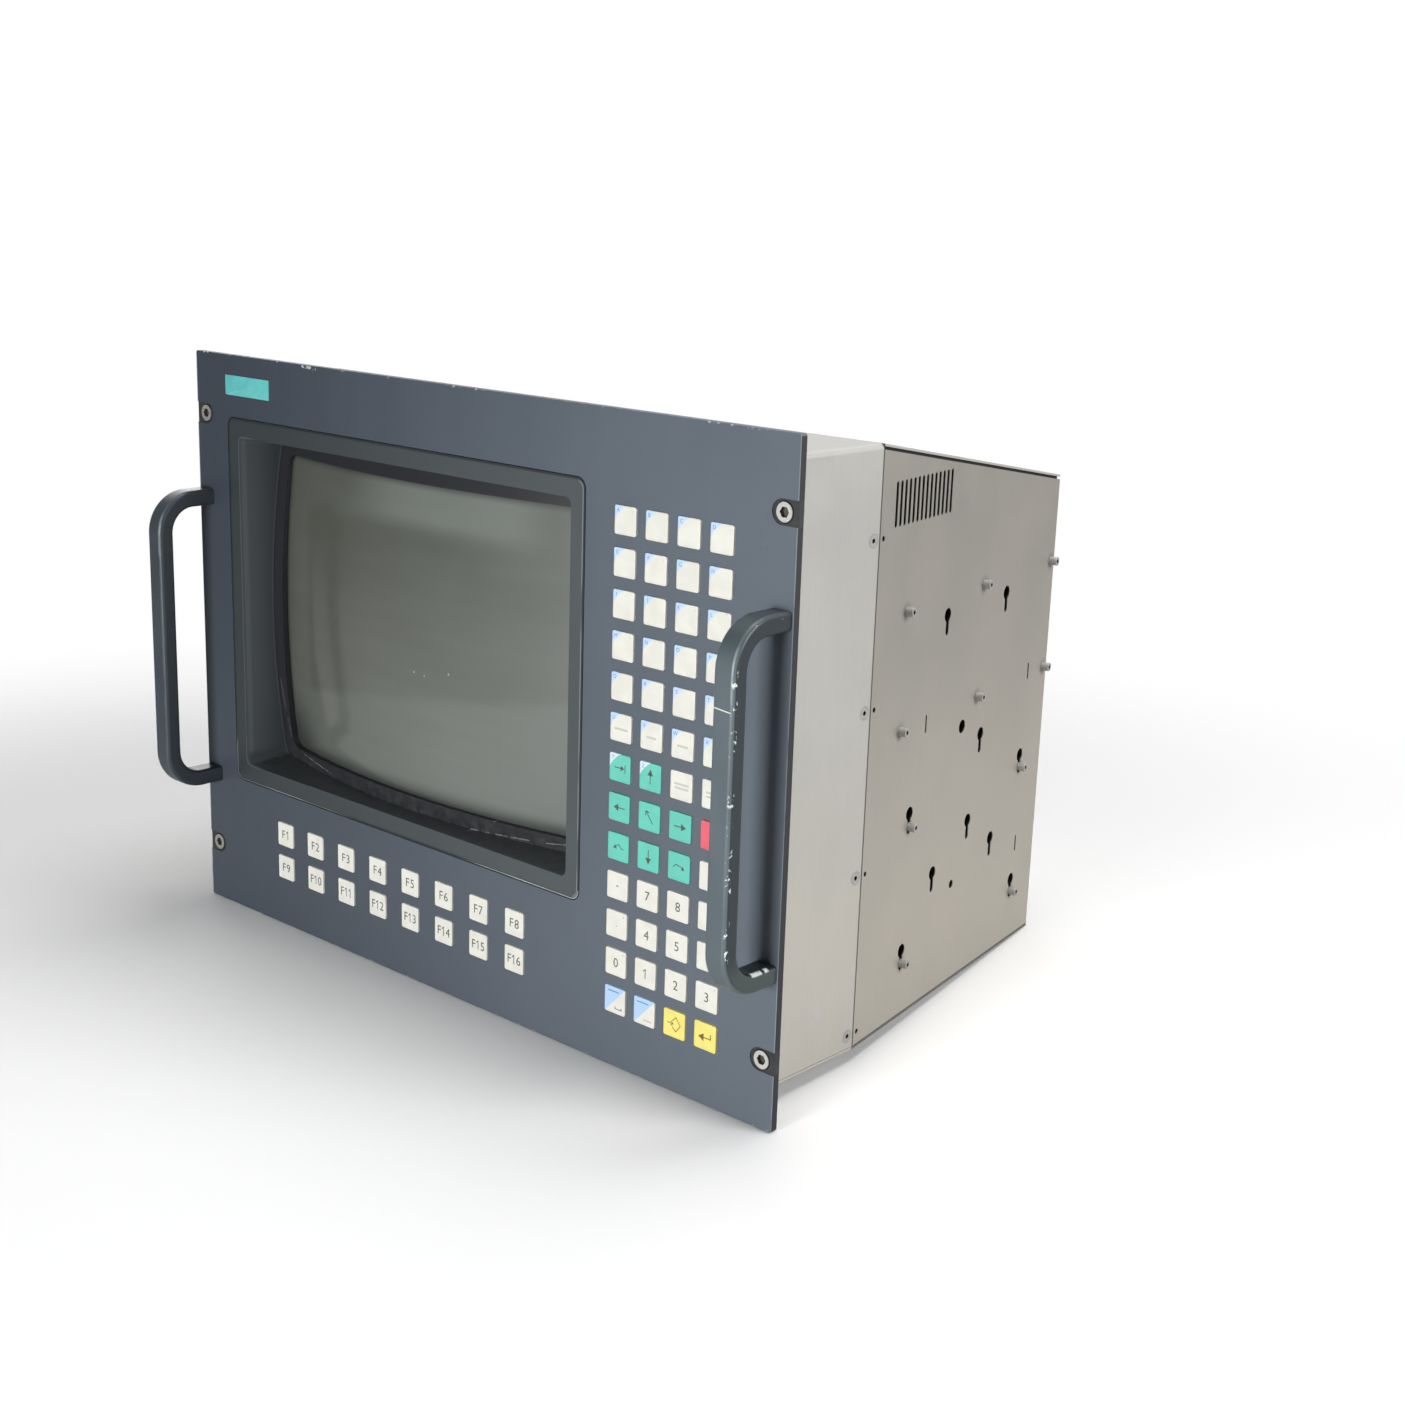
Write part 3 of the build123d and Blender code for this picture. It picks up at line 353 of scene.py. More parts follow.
def add_room():
    """Level room light. The camera sees white, and reflections see a pale room behind the unit and a dim
    one before it"""
    world = bpy.data.worlds.new("room")
    bpy.context.scene.world = world
    world.use_nodes = True
    web = Web(world.node_tree)
    camera_ray, glossy_ray, transmission_ray = (
        web.node("ShaderNodeLightPath", {}, {}, name)
        for name in ("Is Camera Ray", "Is Glossy Ray", "Is Transmission Ray"))
    direction = web.node("ShaderNodeTexCoord", {}, {}, "Generated")
    to_right, to_rear = (web.node("ShaderNodeSeparateXYZ", {}, {"Vector": direction}, axis) for axis in "XY")
    reflected = web.mix(to_right.ramp(-0.85, -0.3), DARK_FRONT, GREY_FRONT)
    behind = web.mix(to_right.ramp(-0.1, 0.4), WHITE, PALE_RIGHT)
    reflected = web.mix(to_rear.ramp(-0.2, 0.3), reflected, behind)
    colour = web.mix(glossy_ray, ROOM_LIGHT, reflected)
    colour = web.mix(camera_ray.most(transmission_ray), colour, WHITE)
    background = web.node("ShaderNodeBackground", {}, {"Color": colour, "Strength": 1.0})
    output = web.tree.nodes.new("ShaderNodeOutputWorld")
    web.tree.links.new(background.socket, output.inputs["Surface"])
    bpy.context.scene.view_settings.view_transform = "Standard"


def add_lamps():
    for name, lamp in LAMPS.items():
        aim = (centre_of("front_frame") - Vector(lamp["place"])).to_track_quat("-Z", "Y").to_euler()
        bpy.ops.object.light_add(type="AREA", location=lamp["place"], rotation=aim)
        light = bpy.context.object
        light.name = name
        light.data.energy = lamp["power"]
        light.data.size = lamp["size"]


def add_floor():
    """Pale floor under the panel's lower edge and the case's rear edge, on which the unit leans back. It
    throws little light up at the unit"""
    panel_low, panel_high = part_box("front_panel")
    case_low, case_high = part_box("bottom_plate")
    lean = math.atan2(case_low.z - panel_low.z, case_high.y - panel_high.y)
    bpy.ops.mesh.primitive_plane_add(
        size=FLOOR_SIZE, location=(0, panel_high.y, panel_low.z - FLOOR_GAP), rotation=(lean, 0, 0))
    floor = bpy.context.object
    floor.name = "floor"
    finish = Finish("floor_white", tone(250, 250, 250), 0.9)
    seen, mirrored = (
        finish.node("ShaderNodeLightPath", {}, {}, name) for name in ("Is Camera Ray", "Is Glossy Ray"))
    shown = finish.mix(mirrored, tone(120, 120, 120), tone(200, 200, 200))
    finish.feed("Base Color", finish.mix(seen, shown, tone(250, 250, 250)))
    far = finish.node("ShaderNodeVectorMath", {"operation": "LENGTH"}, {0: finish.place}, "Value")
    glow = finish.node("ShaderNodeEmission", {}, {"Color": WHITE, "Strength": 1.0})
    shader = Value(finish, finish.shader.outputs["BSDF"])
    blend = finish.node("ShaderNodeMixShader", {}, {0: seen * far.ramp(*FLOOR_FADE), 1: shader, 2: glow})
    output = next(node for node in finish.tree.nodes if node.type == "OUTPUT_MATERIAL")
    finish.tree.links.new(blend.socket, output.inputs["Surface"])
    floor.data.materials.append(finish.material)


# Finishes

def panel_chips(finish, low, high):
    """1 where the panel's paint is chipped along its upper and lower edges or scuffed near two screws"""
    to_edge = (high.z - finish.z).least(finish.z - low.z)
    chips = to_edge.fall(0.2 * MM, 1.3 * MM) * finish.noise(5 * MM, 4.0, 0.7).ramp(0.60, 0.66)
    long_chip = finish.line((-137, 176.6), (-123, 175.9), 1.1) * finish.noise(2.5 * MM).ramp(0.45, 0.5)
    scuffs = finish.spot((226, 131), 9, 5).most(finish.spot((229, -148), 7, 5))
    scuffs = scuffs * finish.noise(2 * MM, 5.0, 0.75, (2, 1, 1)).ramp(0.60, 0.72) * 0.15
    return greatest([chips, long_chip, scuffs])


def panel_paint():
    """Slate paint on the rack plate: satin, dark cut edges, painted shade that darkens it to the left and
    painted light that lightens it towards the bottom, and a thin painted highlight along the side edges
    """
    finish = Finish("panel_paint", tone(82, 91, 101), 0.5)
    low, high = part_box("front_panel")
    clouds = finish.noise(90 * MM, 3.0)
    streaks = finish.noise(14 * MM, 4.0, 0.6, (1, 1, 9))
    # Painted shade: the paint turns darker to the left and lighter to the right, as the light falls off
    # across the panel
    colour = finish.mix(finish.x.ramp(low.x, high.x), tone(55, 63, 73), tone(95, 104, 114))
    colour = finish.mix(clouds.ramp(0.3, 0.7, 0.0, 0.12), colour, tone(58, 66, 77))
    # Painted light: the paint turns lighter towards the bottom
    colour = finish.mix(finish.z.ramp(60 * MM, -175 * MM, 0.0, 0.15), colour, tone(112, 120, 130))
    side = abs(finish.x)
    at_front = finish.y.fall(low.y + 0.05 * MM, low.y + 0.3 * MM)
    # Painted highlight: a thin light line along the front of the side edges, broken up by noise
    bare = side.between(high.x - 0.55 * MM, high.x - 0.15 * MM, 0.12 * MM) * at_front
    bare = bare * finish.noise(26 * MM, 3.0).ramp(0.3, 0.42)
    colour = finish.mix(bare * 0.5, colour, tone(168, 176, 182))
    cut_edge = side.ramp(high.x - 0.1 * MM, high.x - 0.02 * MM).most(finish.y.ramp(high.y - 0.3 * MM, high.y))
    colour = finish.mix(cut_edge, colour, tone(44, 45, 48))
    joint = finish.outside(*OPENING).fall(0.15 * MM, 0.7 * MM)
    colour = finish.mix(joint * 0.85, colour, tone(30, 34, 39))
    colour = finish.mix(panel_chips(finish, low, high) * at_front, colour, tone(186, 190, 192))
    finish.feed("Base Color", colour)
    finish.feed("Roughness", streaks.ramp(0.25, 0.75, 0.46, 0.54) + cut_edge * 0.25)
    finish.bump(finish.noise(1.1 * MM, 2.0), 0.004 * MM)
    return finish.material


class HandlePlace:
    """Where the places of a handle's surface lie: across and up from its middle, behind its front, past its
    straight stretch and under its outer side"""

    def __init__(self, finish, name):
        low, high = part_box(name)
        self.half = (high.x - low.x) / 2
        self.straight = (high.z - low.z) / 2 - HANDLE_BEND
        self.across = finish.x - (low.x + high.x) / 2
        self.height = finish.z - (low.z + high.z) / 2
        self.run = finish.y - low.y
        self.past_straight = abs(self.height) - self.straight
        inward = (low.y + HANDLE_BEND - finish.y).most(0)
        bent = self.past_straight.most(0)
        self.under = HANDLE_BEND - (inward * inward + bent * bent).root()
        self.at_outside = self.under.fall(0.6 * MM, 1.6 * MM)
        self.low_bend = self.height.fall(-self.straight, -self.straight + 6 * MM)


def handle_wear(finish, place):
    """1 where a handle's paint is gone: chips along the outer right edge and patches inside the lower bend"""
    edge = place.across.ramp(place.half - HANDLE_EDGE, place.half - HANDLE_EDGE / 2)
    edge = edge * place.under.fall(2.4 * MM, 3.2 * MM)
    clusters = greatest([abs(finish.z - level * MM).fall(reach * MM, (reach + 2) * MM)
                         for level, reach in CHIP_CLUSTERS])
    chips = edge * place.past_straight.fall(0, 4 * MM) * clusters
    chips = chips * finish.noise(2.2 * MM, 3.0, 0.65, (1, 1, 1.4)).ramp(0.55, 0.60)
    small = edge * finish.noise(1.5 * MM, 2.0, 0.6).ramp(0.72, 0.76)
    patches = place.run.between(22.5 * MM, 29 * MM, 1.2 * MM).most(
        place.run.between(32.2 * MM, 34.2 * MM, 0.8 * MM))
    patches = patches * place.under.ramp(HANDLE_THICK - 1.6 * MM, HANDLE_THICK - 0.8 * MM)
    patches = patches * place.across.ramp(place.half - 3.2 * MM, place.half - 2.2 * MM)
    patches = patches * finish.noise(3 * MM, 3.0, 0.6).ramp(0.30, 0.40) * place.low_bend
    return greatest([chips, small, patches * 0.85])


def handle_paint(name, dark, light, side_shading_tone, highlight_and_wear_share, chip_and_shade_share):
    """Green-grey paint on a handle with chips down to the metal. Painted light and shade: a highlight along
    its front right edge, partly worn paint, its outer side in a tone of its own that lightens towards the
    lower foot, and shade on the upper bend and inside the lower bend
    """
    finish = Finish(name, dark, 0.34, specular=0.35)
    place = HandlePlace(finish, name)
    colour = finish.mix(finish.noise(40 * MM, 3.0).ramp(0.3, 0.7), dark, light)
    # Painted shade: the front darkens towards the top of the upper bend
    top_bend_shade = place.height.ramp(place.straight + 4 * MM, place.straight + 17 * MM, 0.0, 0.6)
    foot_side_light = place.height.ramp(-place.straight, -place.straight - 16 * MM, 0.0, 0.7)
    colour = finish.mix(top_bend_shade * chip_and_shade_share, colour, tone(48, 57, 57))
    rear_half = place.under.ramp(4.5 * MM, 6.5 * MM)
    side = place.across.ramp(place.half - 0.5 * MM, place.half - 0.1 * MM)
    side = side.most(place.across.ramp(place.half - 2.3 * MM, place.half - 1.5 * MM) * rear_half)
    # Painted shade and light: the outer side takes a tone of its own, and turns lighter towards the lower
    # foot
    colour = finish.mix(side, colour, side_shading_tone)
    colour = finish.mix(side * foot_side_light * chip_and_shade_share, colour, tone(74, 86, 84))
    # Painted highlight, partly worn paint: a light line along the rounded front right edge, strongest near
    # the upper bend
    near_top = place.height.between(place.straight - 10 * MM, place.straight + 9 * MM, 8 * MM)
    highlight_and_wear_line = abs(place.across - (place.half - 1.7 * MM)).fall(0.35 * MM, 0.85 * MM) * place.at_outside
    highlight_and_wear_line = highlight_and_wear_line * finish.noise(18 * MM, 3.0, 0.6).ramp(0.25, 0.5) * near_top.most(0.25)
    colour = finish.mix(highlight_and_wear_line * highlight_and_wear_share, colour, tone(176, 188, 192))
    # Painted shade: the inner face of the lower bend is darkened almost to black
    inner_bend_shade = place.under.ramp(HANDLE_THICK - 1.2 * MM, HANDLE_THICK - 0.5 * MM) * place.low_bend
    colour = finish.mix(inner_bend_shade * 0.9, colour, tone(20, 22, 26))
    scratch = finish.line((226.0, 51.0), (238.2, 50.0), 0.4) * place.at_outside
    worn = (handle_wear(finish, place) * chip_and_shade_share).most(scratch)
    finish.feed("Base Color", finish.mix(worn, colour, tone(226, 230, 226)))
    finish.feed("Roughness", worn.ramp(0.0, 1.0, 0.33, 0.55))
    finish.bump(finish.noise(0.9 * MM) - worn * 4, 0.006 * MM)
    return finish.material


def bezel_lip(finish, low, colour):
    """Colour with a dark joint, a painted highlight along the rim and a painted highlight line on the lip
    level with the panel
    """
    at_front = finish.y.fall(low.y + 0.3 * MM, low.y + 0.8 * MM)
    rim = finish.outside(*OPENING)
    left_part = finish.x.fall(-130 * MM, -90 * MM) * finish.z.fall(-70 * MM, -60 * MM)
    right_part = finish.x.ramp(0 * MM, 40 * MM) * finish.z.fall(-86 * MM, -84 * MM)
    right_side = finish.x.ramp(94 * MM, 97 * MM) * finish.noise(50 * MM, 2.0).ramp(0.35, 0.5)
    colour = finish.mix(rim.ramp(-1.7 * MM, -0.9 * MM) * at_front * 0.8, colour, tone(30, 33, 37))
    # Painted highlight: a thin light line along the rim at the lower left and the lower right
    glint = rim.between(-0.75 * MM, -0.4 * MM, 0.2 * MM) * at_front
    glint = glint * finish.noise(30 * MM, 3.0).ramp(0.35, 0.6, 0.4, 1.0)
    colour = finish.mix(glint * left_part * 0.6, colour, tone(170, 176, 178))
    colour = finish.mix(glint * right_part * 0.7, colour, tone(206, 210, 212))
    # Painted highlight: a faint light line inside the rim on the right side
    right_edge_highlight = rim.between(-1.9 * MM, -1.4 * MM, 0.2 * MM) * at_front * right_side
    return finish.mix(right_edge_highlight * 0.6, colour, tone(150, 156, 160))


def behind_ledge(finish, low):
    """Distance behind the curved surface of the ledge round the glass, less than 0 before it"""
    aside = finish.x - LEDGE_X
    raised = finish.z - LEDGE_Z
    reach = LEDGE_ACROSS - LEDGE_UPRIGHT + (LEDGE_UPRIGHT ** 2 - raised * raised).root()
    return finish.y - low.y - LEDGE_DEPTH - LEDGE_ACROSS + (reach * reach - aside * aside).root()


def bezel_recess(finish, low, recessed, colour):
    """Colour with the left wall painted pale as light, a painted highlight line round the mouth, the lower
    wall painted dim as shade and the ledge painted black as shade
    """
    # Painted light: the left wall of the recess is painted paler, most at its front
    left_wall = recessed * finish.x.fall(-196 * MM, -188 * MM)
    lit = left_wall * finish.y.ramp(low.y + 2 * MM, low.y + 34 * MM, 1.0, 0.15)
    colour = finish.mix(lit, colour, tone(88, 93, 97))
    # Painted highlight: a light line round the mouth of the recess, on its left part
    mouth_highlight = finish.outside(*MOUTH).between(-0.5 * MM, 0.4 * MM, 0.3 * MM)
    mouth_highlight = mouth_highlight * finish.x.fall(-190 * MM, -180 * MM)
    colour = finish.mix(mouth_highlight * 0.5, colour, tone(112, 117, 120))
    # Painted shade: the lower wall of the recess is darkened
    low_wall_shade = recessed * finish.z.fall(-76 * MM, -70 * MM)
    colour = finish.mix(low_wall_shade * 0.8, colour, tone(56, 60, 63))
    past_ledge = behind_ledge(finish, low)
    corner_line = past_ledge.between(-1.6 * MM, -0.7 * MM, 0.3 * MM)
    corner_line = corner_line * finish.x.fall(-186 * MM, -182 * MM)
    colour = finish.mix(corner_line * recessed * 0.7, colour, tone(92, 92, 98))
    # Painted shade: the ledge round the glass is painted near-black
    return finish.mix(past_ledge.ramp(-0.7 * MM, -0.2 * MM), colour, tone(37, 38, 42))


def bezel_plastic():
    """Charcoal moulded plastic, painted darker to the left as shade: a lip, a recess with its ledge painted
    black as shade, dust in its lower part and scratches
    """
    finish = Finish("bezel_plastic", tone(72, 77, 81), 0.45)
    low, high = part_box("screen_bezel")
    recessed = finish.y.ramp(low.y + 0.8 * MM, low.y + 2 * MM)
    # Painted shade: the plastic turns darker to the left and lighter to the right, as the light falls off
    colour = finish.mix(finish.x.ramp(low.x, high.x), tone(50, 56, 59), tone(78, 84, 87))
    colour = finish.mix(finish.noise(60 * MM, 3.0).ramp(0.3, 0.7, 0.0, 0.15), colour, tone(56, 60, 64))
    colour = bezel_lip(finish, low, colour)
    colour = bezel_recess(finish, low, recessed, colour)
    dust = recessed * finish.z.fall(low.z + 8 * MM, low.z + 34 * MM)
    dust = dust * finish.noise(6 * MM, 4.0, 0.7).ramp(0.35, 0.75)
    colour = finish.mix(dust * 0.18, colour, tone(104, 106, 104))
    scratches = greatest([finish.line(start, end, 0.5) for start, end in BEZEL_SCRATCHES])
    scratches = scratches * recessed * finish.noise(4 * MM, 3.0, 0.7).ramp(0.42, 0.5)
    scratches = scratches.most(finish.spot((15.8, -68.7), 0.6, 0.4))
    finish.feed("Base Color", finish.mix(scratches * 0.6, colour, tone(138, 140, 142)))
    finish.feed("Roughness", dust.ramp(0.0, 1.0, 0.43, 0.7))
    finish.bump(finish.noise(0.5 * MM, 2.0, 0.6), 0.010 * MM)
    return finish.material


def tube_glass():
    """Grey-green glass over the dull phosphor, with painted reflection and shade: darker at the upper left,
    soft bands, a darker middle, a lighter top band and painted shadow along the edges; a low gloss and a few
    specks"""
    finish = Finish("tube_glass", tone(108, 113, 107), 0.5, coat=0.8, coat_roughness=0.12)
    # Painted reflection and shade: the glass turns darker towards the upper left, with soft bands
    shade = finish.x * 2.9 - finish.z * 2.3 + 0.7
    bands = finish.noise(9 * MM, 3.0, 0.5, (14, 14, 1))
    shade = shade + bands * 0.35 - 0.17 + finish.noise(60 * MM, 2.0) * 0.2 - 0.1
    colour = finish.mix(shade.ramp(-0.1, 1.1), tone(84, 87, 79), tone(115, 121, 116))
    # Painted reflection: a darker zone over the middle and the left of the glass
    above = (finish.z - finish.x * 0.15).ramp(-6 * MM, 3 * MM)
    below_band = finish.z.fall(84 * MM, 98 * MM).most(finish.x.ramp(0, 60 * MM))
    middle = above * below_band * finish.x.ramp(-162 * MM, -150 * MM)
    colour = finish.mix(middle * 0.3, colour, tone(70, 72, 64))
    colour = finish.mix(middle * finish.x.ramp(-130 * MM, -90 * MM, 0.3, 0.0), colour, tone(66, 68, 60))
    # Painted reflection: a lighter band along the top of the glass
    top_reflection_band = finish.z.ramp(88 * MM, 100 * MM) * finish.x.ramp(-120 * MM, -60 * MM)
    top_reflection_band = top_reflection_band * finish.x.fall(20 * MM, 60 * MM)
    colour = finish.mix(top_reflection_band * 0.4, colour, tone(134, 141, 136))
    # Painted shadow: the glass darkens along its edges, most along the bottom and at the lower left corner
    low_edge_shadow = finish.z.fall(WINDOW[2], WINDOW[2] + 11 * MM)
    low_corner_shadow = finish.away(finish.x, finish.z, [(-187, -74)]).fall(14 * MM, 50 * MM)
    edge = finish.outside(*WINDOW).ramp(-5 * MM, 1 * MM).most(low_edge_shadow).most(low_corner_shadow)
    colour = finish.mix(edge * 0.75, colour, tone(36, 39, 38))
    specks = greatest([
        finish.spot((-45.5, 8.5), 0.5, 0.3), finish.spot((-36.7, 7.8), 0.4, 0.3),
        finish.spot((-16.6, 12.2), 0.6, 0.3), finish.noise(2.2 * MM).ramp(0.83, 0.86) * 0.5])
    finish.feed("Base Color", finish.mix(specks * 0.5, colour, tone(205, 208, 200)))
    finish.feed("Roughness", finish.noise(30 * MM, 4.0, 0.6).ramp(0.2, 0.8, 0.42, 0.56))
    return finish.material


def sheet_metal(name, first, second, metallic=0.3, roughness=0.45):
    """Zinc-grey sheet with soft clouds, a faint rolled grain, small stains and painted light that makes it
    lighter and warmer towards the bottom: the finish and its colour
    """
    finish = Finish(name, first, roughness, metallic)
    clouds = finish.noise(70 * MM, 4.0, 0.6)
    grain = finish.noise(1.2 * MM, 2.0, 0.5, (1, 1, 30))
    colour = finish.mix(clouds.ramp(0.3, 0.7), first, second)
    # Painted light: the sheet turns lighter and warmer towards the bottom, where the floor throws light up
    colour = finish.mix(finish.z.ramp(-160 * MM, 100 * MM, 0.35, 0.0), colour, tone(222, 214, 196))
    colour = finish.mix(grain.ramp(0.3, 0.7, 0.0, 0.03), colour, tone(110, 108, 102))
    stains = finish.noise(9 * MM, 5.0, 0.7).ramp(0.68, 0.78) * finish.noise(60 * MM).ramp(0.5, 0.6)
    colour = finish.mix(stains * 0.2, colour, tone(118, 116, 110))
    finish.feed("Roughness", clouds.ramp(0.25, 0.75, roughness - 0.05, roughness + 0.05))
    finish.bump(grain, 0.001 * MM)
    return finish, colour


def frame_sheet_metal():
    """Sheet of the front section, with the dark seam at its rear edge and dark rings round the screws"""
    finish, colour = sheet_metal("frame_sheet", tone(188, 187, 183), tone(194, 192, 187))
    seam = finish.y.ramp(SEAM_Y - 0.9 * MM, SEAM_Y - 0.3 * MM)
    colour = finish.mix(seam * 0.8, colour, tone(62, 60, 58))
    screw = finish.away(finish.y, finish.z, [(CASE_SCREW_Y, level) for level in CASE_SCREW_LEVELS])
    on_side = abs(finish.x).ramp(CASE_HALF - 0.5 * MM, CASE_HALF - 0.2 * MM)
    ring = screw.fall(3.6 * MM, 4.6 * MM) * on_side
    colour = finish.mix(ring * 0.15, colour, tone(110, 108, 105))
    smudge = finish.away(finish.y, finish.z, [(53, -138)]).fall(3 * MM, 7 * MM)
    smudge = smudge * on_side * finish.noise(4 * MM, 4.0).ramp(0.4, 0.6)
    colour = finish.mix(smudge * 0.4, colour, tone(204, 207, 212))
    finish.feed("Base Color", colour)
    return finish.material


def wall_places(finish):
    """Run along the side walls of the rear section, and height above their outer surface"""
    inward = abs(finish.x) - CASE_HALF
    behind = finish.y - SEAM_Y
    run = behind * math.cos(SIDE_TAPER) - inward * math.sin(SIDE_TAPER)
    return run, inward * math.cos(SIDE_TAPER) + behind * math.sin(SIDE_TAPER)


def housing_sheet_metal():
    """Sheet of the rear section: painted black inside and in its holes as shade, with a painted shadow under
    the cover and painted shade round the studs"""
    finish, colour = sheet_metal("housing_sheet", tone(160, 157, 150), tone(168, 163, 155))
    run, above = wall_places(finish)
    seam = run.fall(0.4 * MM, 1.0 * MM)
    colour = finish.mix(seam * 0.7, colour, tone(70, 67, 63))
    stud = finish.away(run, finish.z, STUD_PLACES)
    shade = stud.fall(2.4 * MM, 7.0 * MM) * finish.x.ramp(0, 10 * MM)
    colour = finish.mix(shade * 0.4, colour, tone(92, 89, 84))
    # Painted shadow: a dark strip on the wall just under the cover's edge
    cover_shadow = (finish.z + (finish.y - SEAM_Y) * ROOF_FALL).ramp(CASE_TOP - 3.2 * MM, CASE_TOP - 2.7 * MM)
    # Painted shade: the inner faces of the walls and the sides of their holes are painted near-black
    inside = above.fall(-0.6 * MM, -0.25 * MM) * finish.y.fall(
        CASE_REAR - 0.6 * MM, CASE_REAR - 0.25 * MM)
    dark = inside.most(cover_shadow)
    finish.feed("Base Color", finish.mix(dark, colour, tone(24, 24, 25)))
    finish.feed("Metallic", dark.ramp(0.0, 1.0, 0.3, 0.0))
    return finish.material


def cover_sheet_metal():
    """Sheet of the sloping cover: light upper edge, its underside painted dark as shade"""
    finish, colour = sheet_metal("cover_sheet", tone(178, 175, 169), tone(186, 182, 175), 0.0, 0.68)
    drop = CASE_TOP - (finish.y - SEAM_Y) * ROOF_FALL - finish.z
    # Painted shade: below the cover's edge the underside is painted near-black
    under = drop.ramp(COVER_EDGE - 0.1 * MM, COVER_EDGE + 0.1 * MM)
    finish.feed("Base Color", finish.mix(under, colour, tone(22, 22, 23)))
    return finish.material


def bright_steel():
    """Zinc-plated steel of the hidden screws, pillars and band"""
    finish = Finish("bright_steel", tone(196, 196, 190), 0.34, 0.85)
    turned = finish.noise(1.6 * MM, 3.0)
    finish.feed("Base Color", finish.mix(turned.ramp(0.3, 0.7), tone(176, 176, 170), tone(212, 212, 206)))
    finish.feed("Roughness", turned.ramp(0.3, 0.7, 0.26, 0.46))
    finish.bump(turned, 0.01 * MM)
    return finish.material


def screw_steel(name, pale, dark, socket):
    """Plated steel of screws and studs: pale heads, painted darker on the left as shade, and dark sockets
    painted as shade where the socket function says
    """
    finish = Finish(name, pale, 0.4, 0.35)
    turned = finish.noise(2.5 * MM, 3.0)
    colour = finish.mix(turned.ramp(0.3, 0.7), pale, shaded(pale, 0.86))
    # Painted shade: heads towards the left are painted darker, as the light falls off
    colour = finish.mix(finish.x.ramp(-0.2, 0.2, 0.5, 0.0), colour, tone(84, 82, 74))
    finish.feed("Base Color", finish.mix(socket(finish), colour, dark))
    finish.feed("Roughness", turned.ramp(0.3, 0.7, 0.34, 0.46))
    finish.bump(turned, 0.002 * MM)
    return finish.material


def rack_screw_socket(finish):
    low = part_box("rack_screws")[0]
    from_middle = finish.away(finish.x, finish.z, RACK_SCREW_PLACES)
    deep = finish.y.ramp(low.y + 0.15 * MM, low.y + 0.5 * MM)
    # Painted shade: the deep part of each socket is painted dark, and the ring beyond the head is darkened
    # too
    socket = from_middle.fall(2.9 * MM, 3.1 * MM) * deep
    return socket.most(from_middle.ramp(4.6 * MM, 5.0 * MM) * 0.6)


def case_screw_socket(finish):
    from_middle = finish.away(finish.y, finish.z, [(CASE_SCREW_Y, level) for level in CASE_SCREW_LEVELS])
    # Painted shade: all of the screw below the wall's surface, its socket, is painted dark, with a faint
    # darker ring at the head's rim
    return abs(finish.x).fall(CASE_HALF - 0.3 * MM, CASE_HALF - 0.1 * MM).most(
        from_middle.ramp(3.0 * MM, 3.6 * MM) * 0.2)


def stud_bore(finish):
    run, above = wall_places(finish)
    # Painted shade: the bore and the grooves of the thread are painted dark
    bore = finish.away(run, finish.z, STUD_PLACES).fall(1.15 * MM, 1.35 * MM)
    turns = above * (2 * math.pi / STUD_PITCH)
    return bore.most(turns.maths("SINE", turns).ramp(0.2, 0.8) * 0.45)


def dull_plastic(name, first, second, roughness=0.5):
    """Moulded plastic with a fine grain and slow changes of tone"""
    finish = Finish(name, first, roughness)
    grain = finish.noise(0.7 * MM, 2.0)
    finish.feed("Base Color", finish.mix(finish.noise(12 * MM, 3.0).ramp(0.3, 0.7), first, second))
    finish.feed("Roughness", grain.ramp(0.2, 0.8, roughness - 0.06, roughness + 0.06))
    finish.bump(grain, 0.01 * MM)
    return finish.material


def circuit_board():
    """Green lacquer over copper tracks"""
    finish = Finish("circuit_board", tone(40, 92, 62), 0.35)
    tracks = finish.noise(2.4 * MM, 1.0, 0.4, (5, 5, 1)).ramp(0.52, 0.54)
    finish.feed("Base Color", finish.mix(tracks, tone(34, 82, 54), tone(58, 116, 78)))
    finish.feed("Roughness", tracks.ramp(0.0, 1.0, 0.4, 0.28))
    finish.bump(tracks, 0.03 * MM)
    return finish.material


def key_plastic(name, face, corner=None, corner_reach=1.0, soft=0.02, hollow=0.0):
    """Satin key plastic. A corner colour fills the upper left, up to its reach along both edges and less
    between"""
    finish = Finish(name, face, 0.5)
    clouds = finish.noise(9 * MM, 2.0)
    colour = finish.mix(clouds.ramp(0.3, 0.7), face, shaded(face, 0.93))
    if corner:
        flat = finish.node("ShaderNodeTexCoord", {}, {}, "UV")
        across, upright = (finish.node("ShaderNodeSeparateXYZ", {}, {"Vector": flat}, axis) for axis in "XY")
        reach = across + (1 - upright) + across * (1 - upright) * hollow
        colour = finish.mix(reach.fall(corner_reach - soft, corner_reach + soft), colour, corner)
    finish.feed("Base Color", colour)
    finish.feed("Roughness", finish.noise(3 * MM, 3.0).ramp(0.2, 0.8, 0.36, 0.5))
    finish.bump(finish.noise(0.5 * MM), 0.008 * MM)
    return finish.material


def legend_ink(name, colour):
    """Printed ink, a little thin in places"""
    finish = Finish(name, colour, 0.55)
    thin = finish.noise(0.8 * MM, 2.0).ramp(0.6, 0.75)
    finish.feed("Base Color", finish.mix(thin * 0.5, colour, shaded(colour, 0.7, 0.12)))
    finish.feed("Roughness", thin.ramp(0.0, 1.0, 0.5, 0.62))
    return finish.material


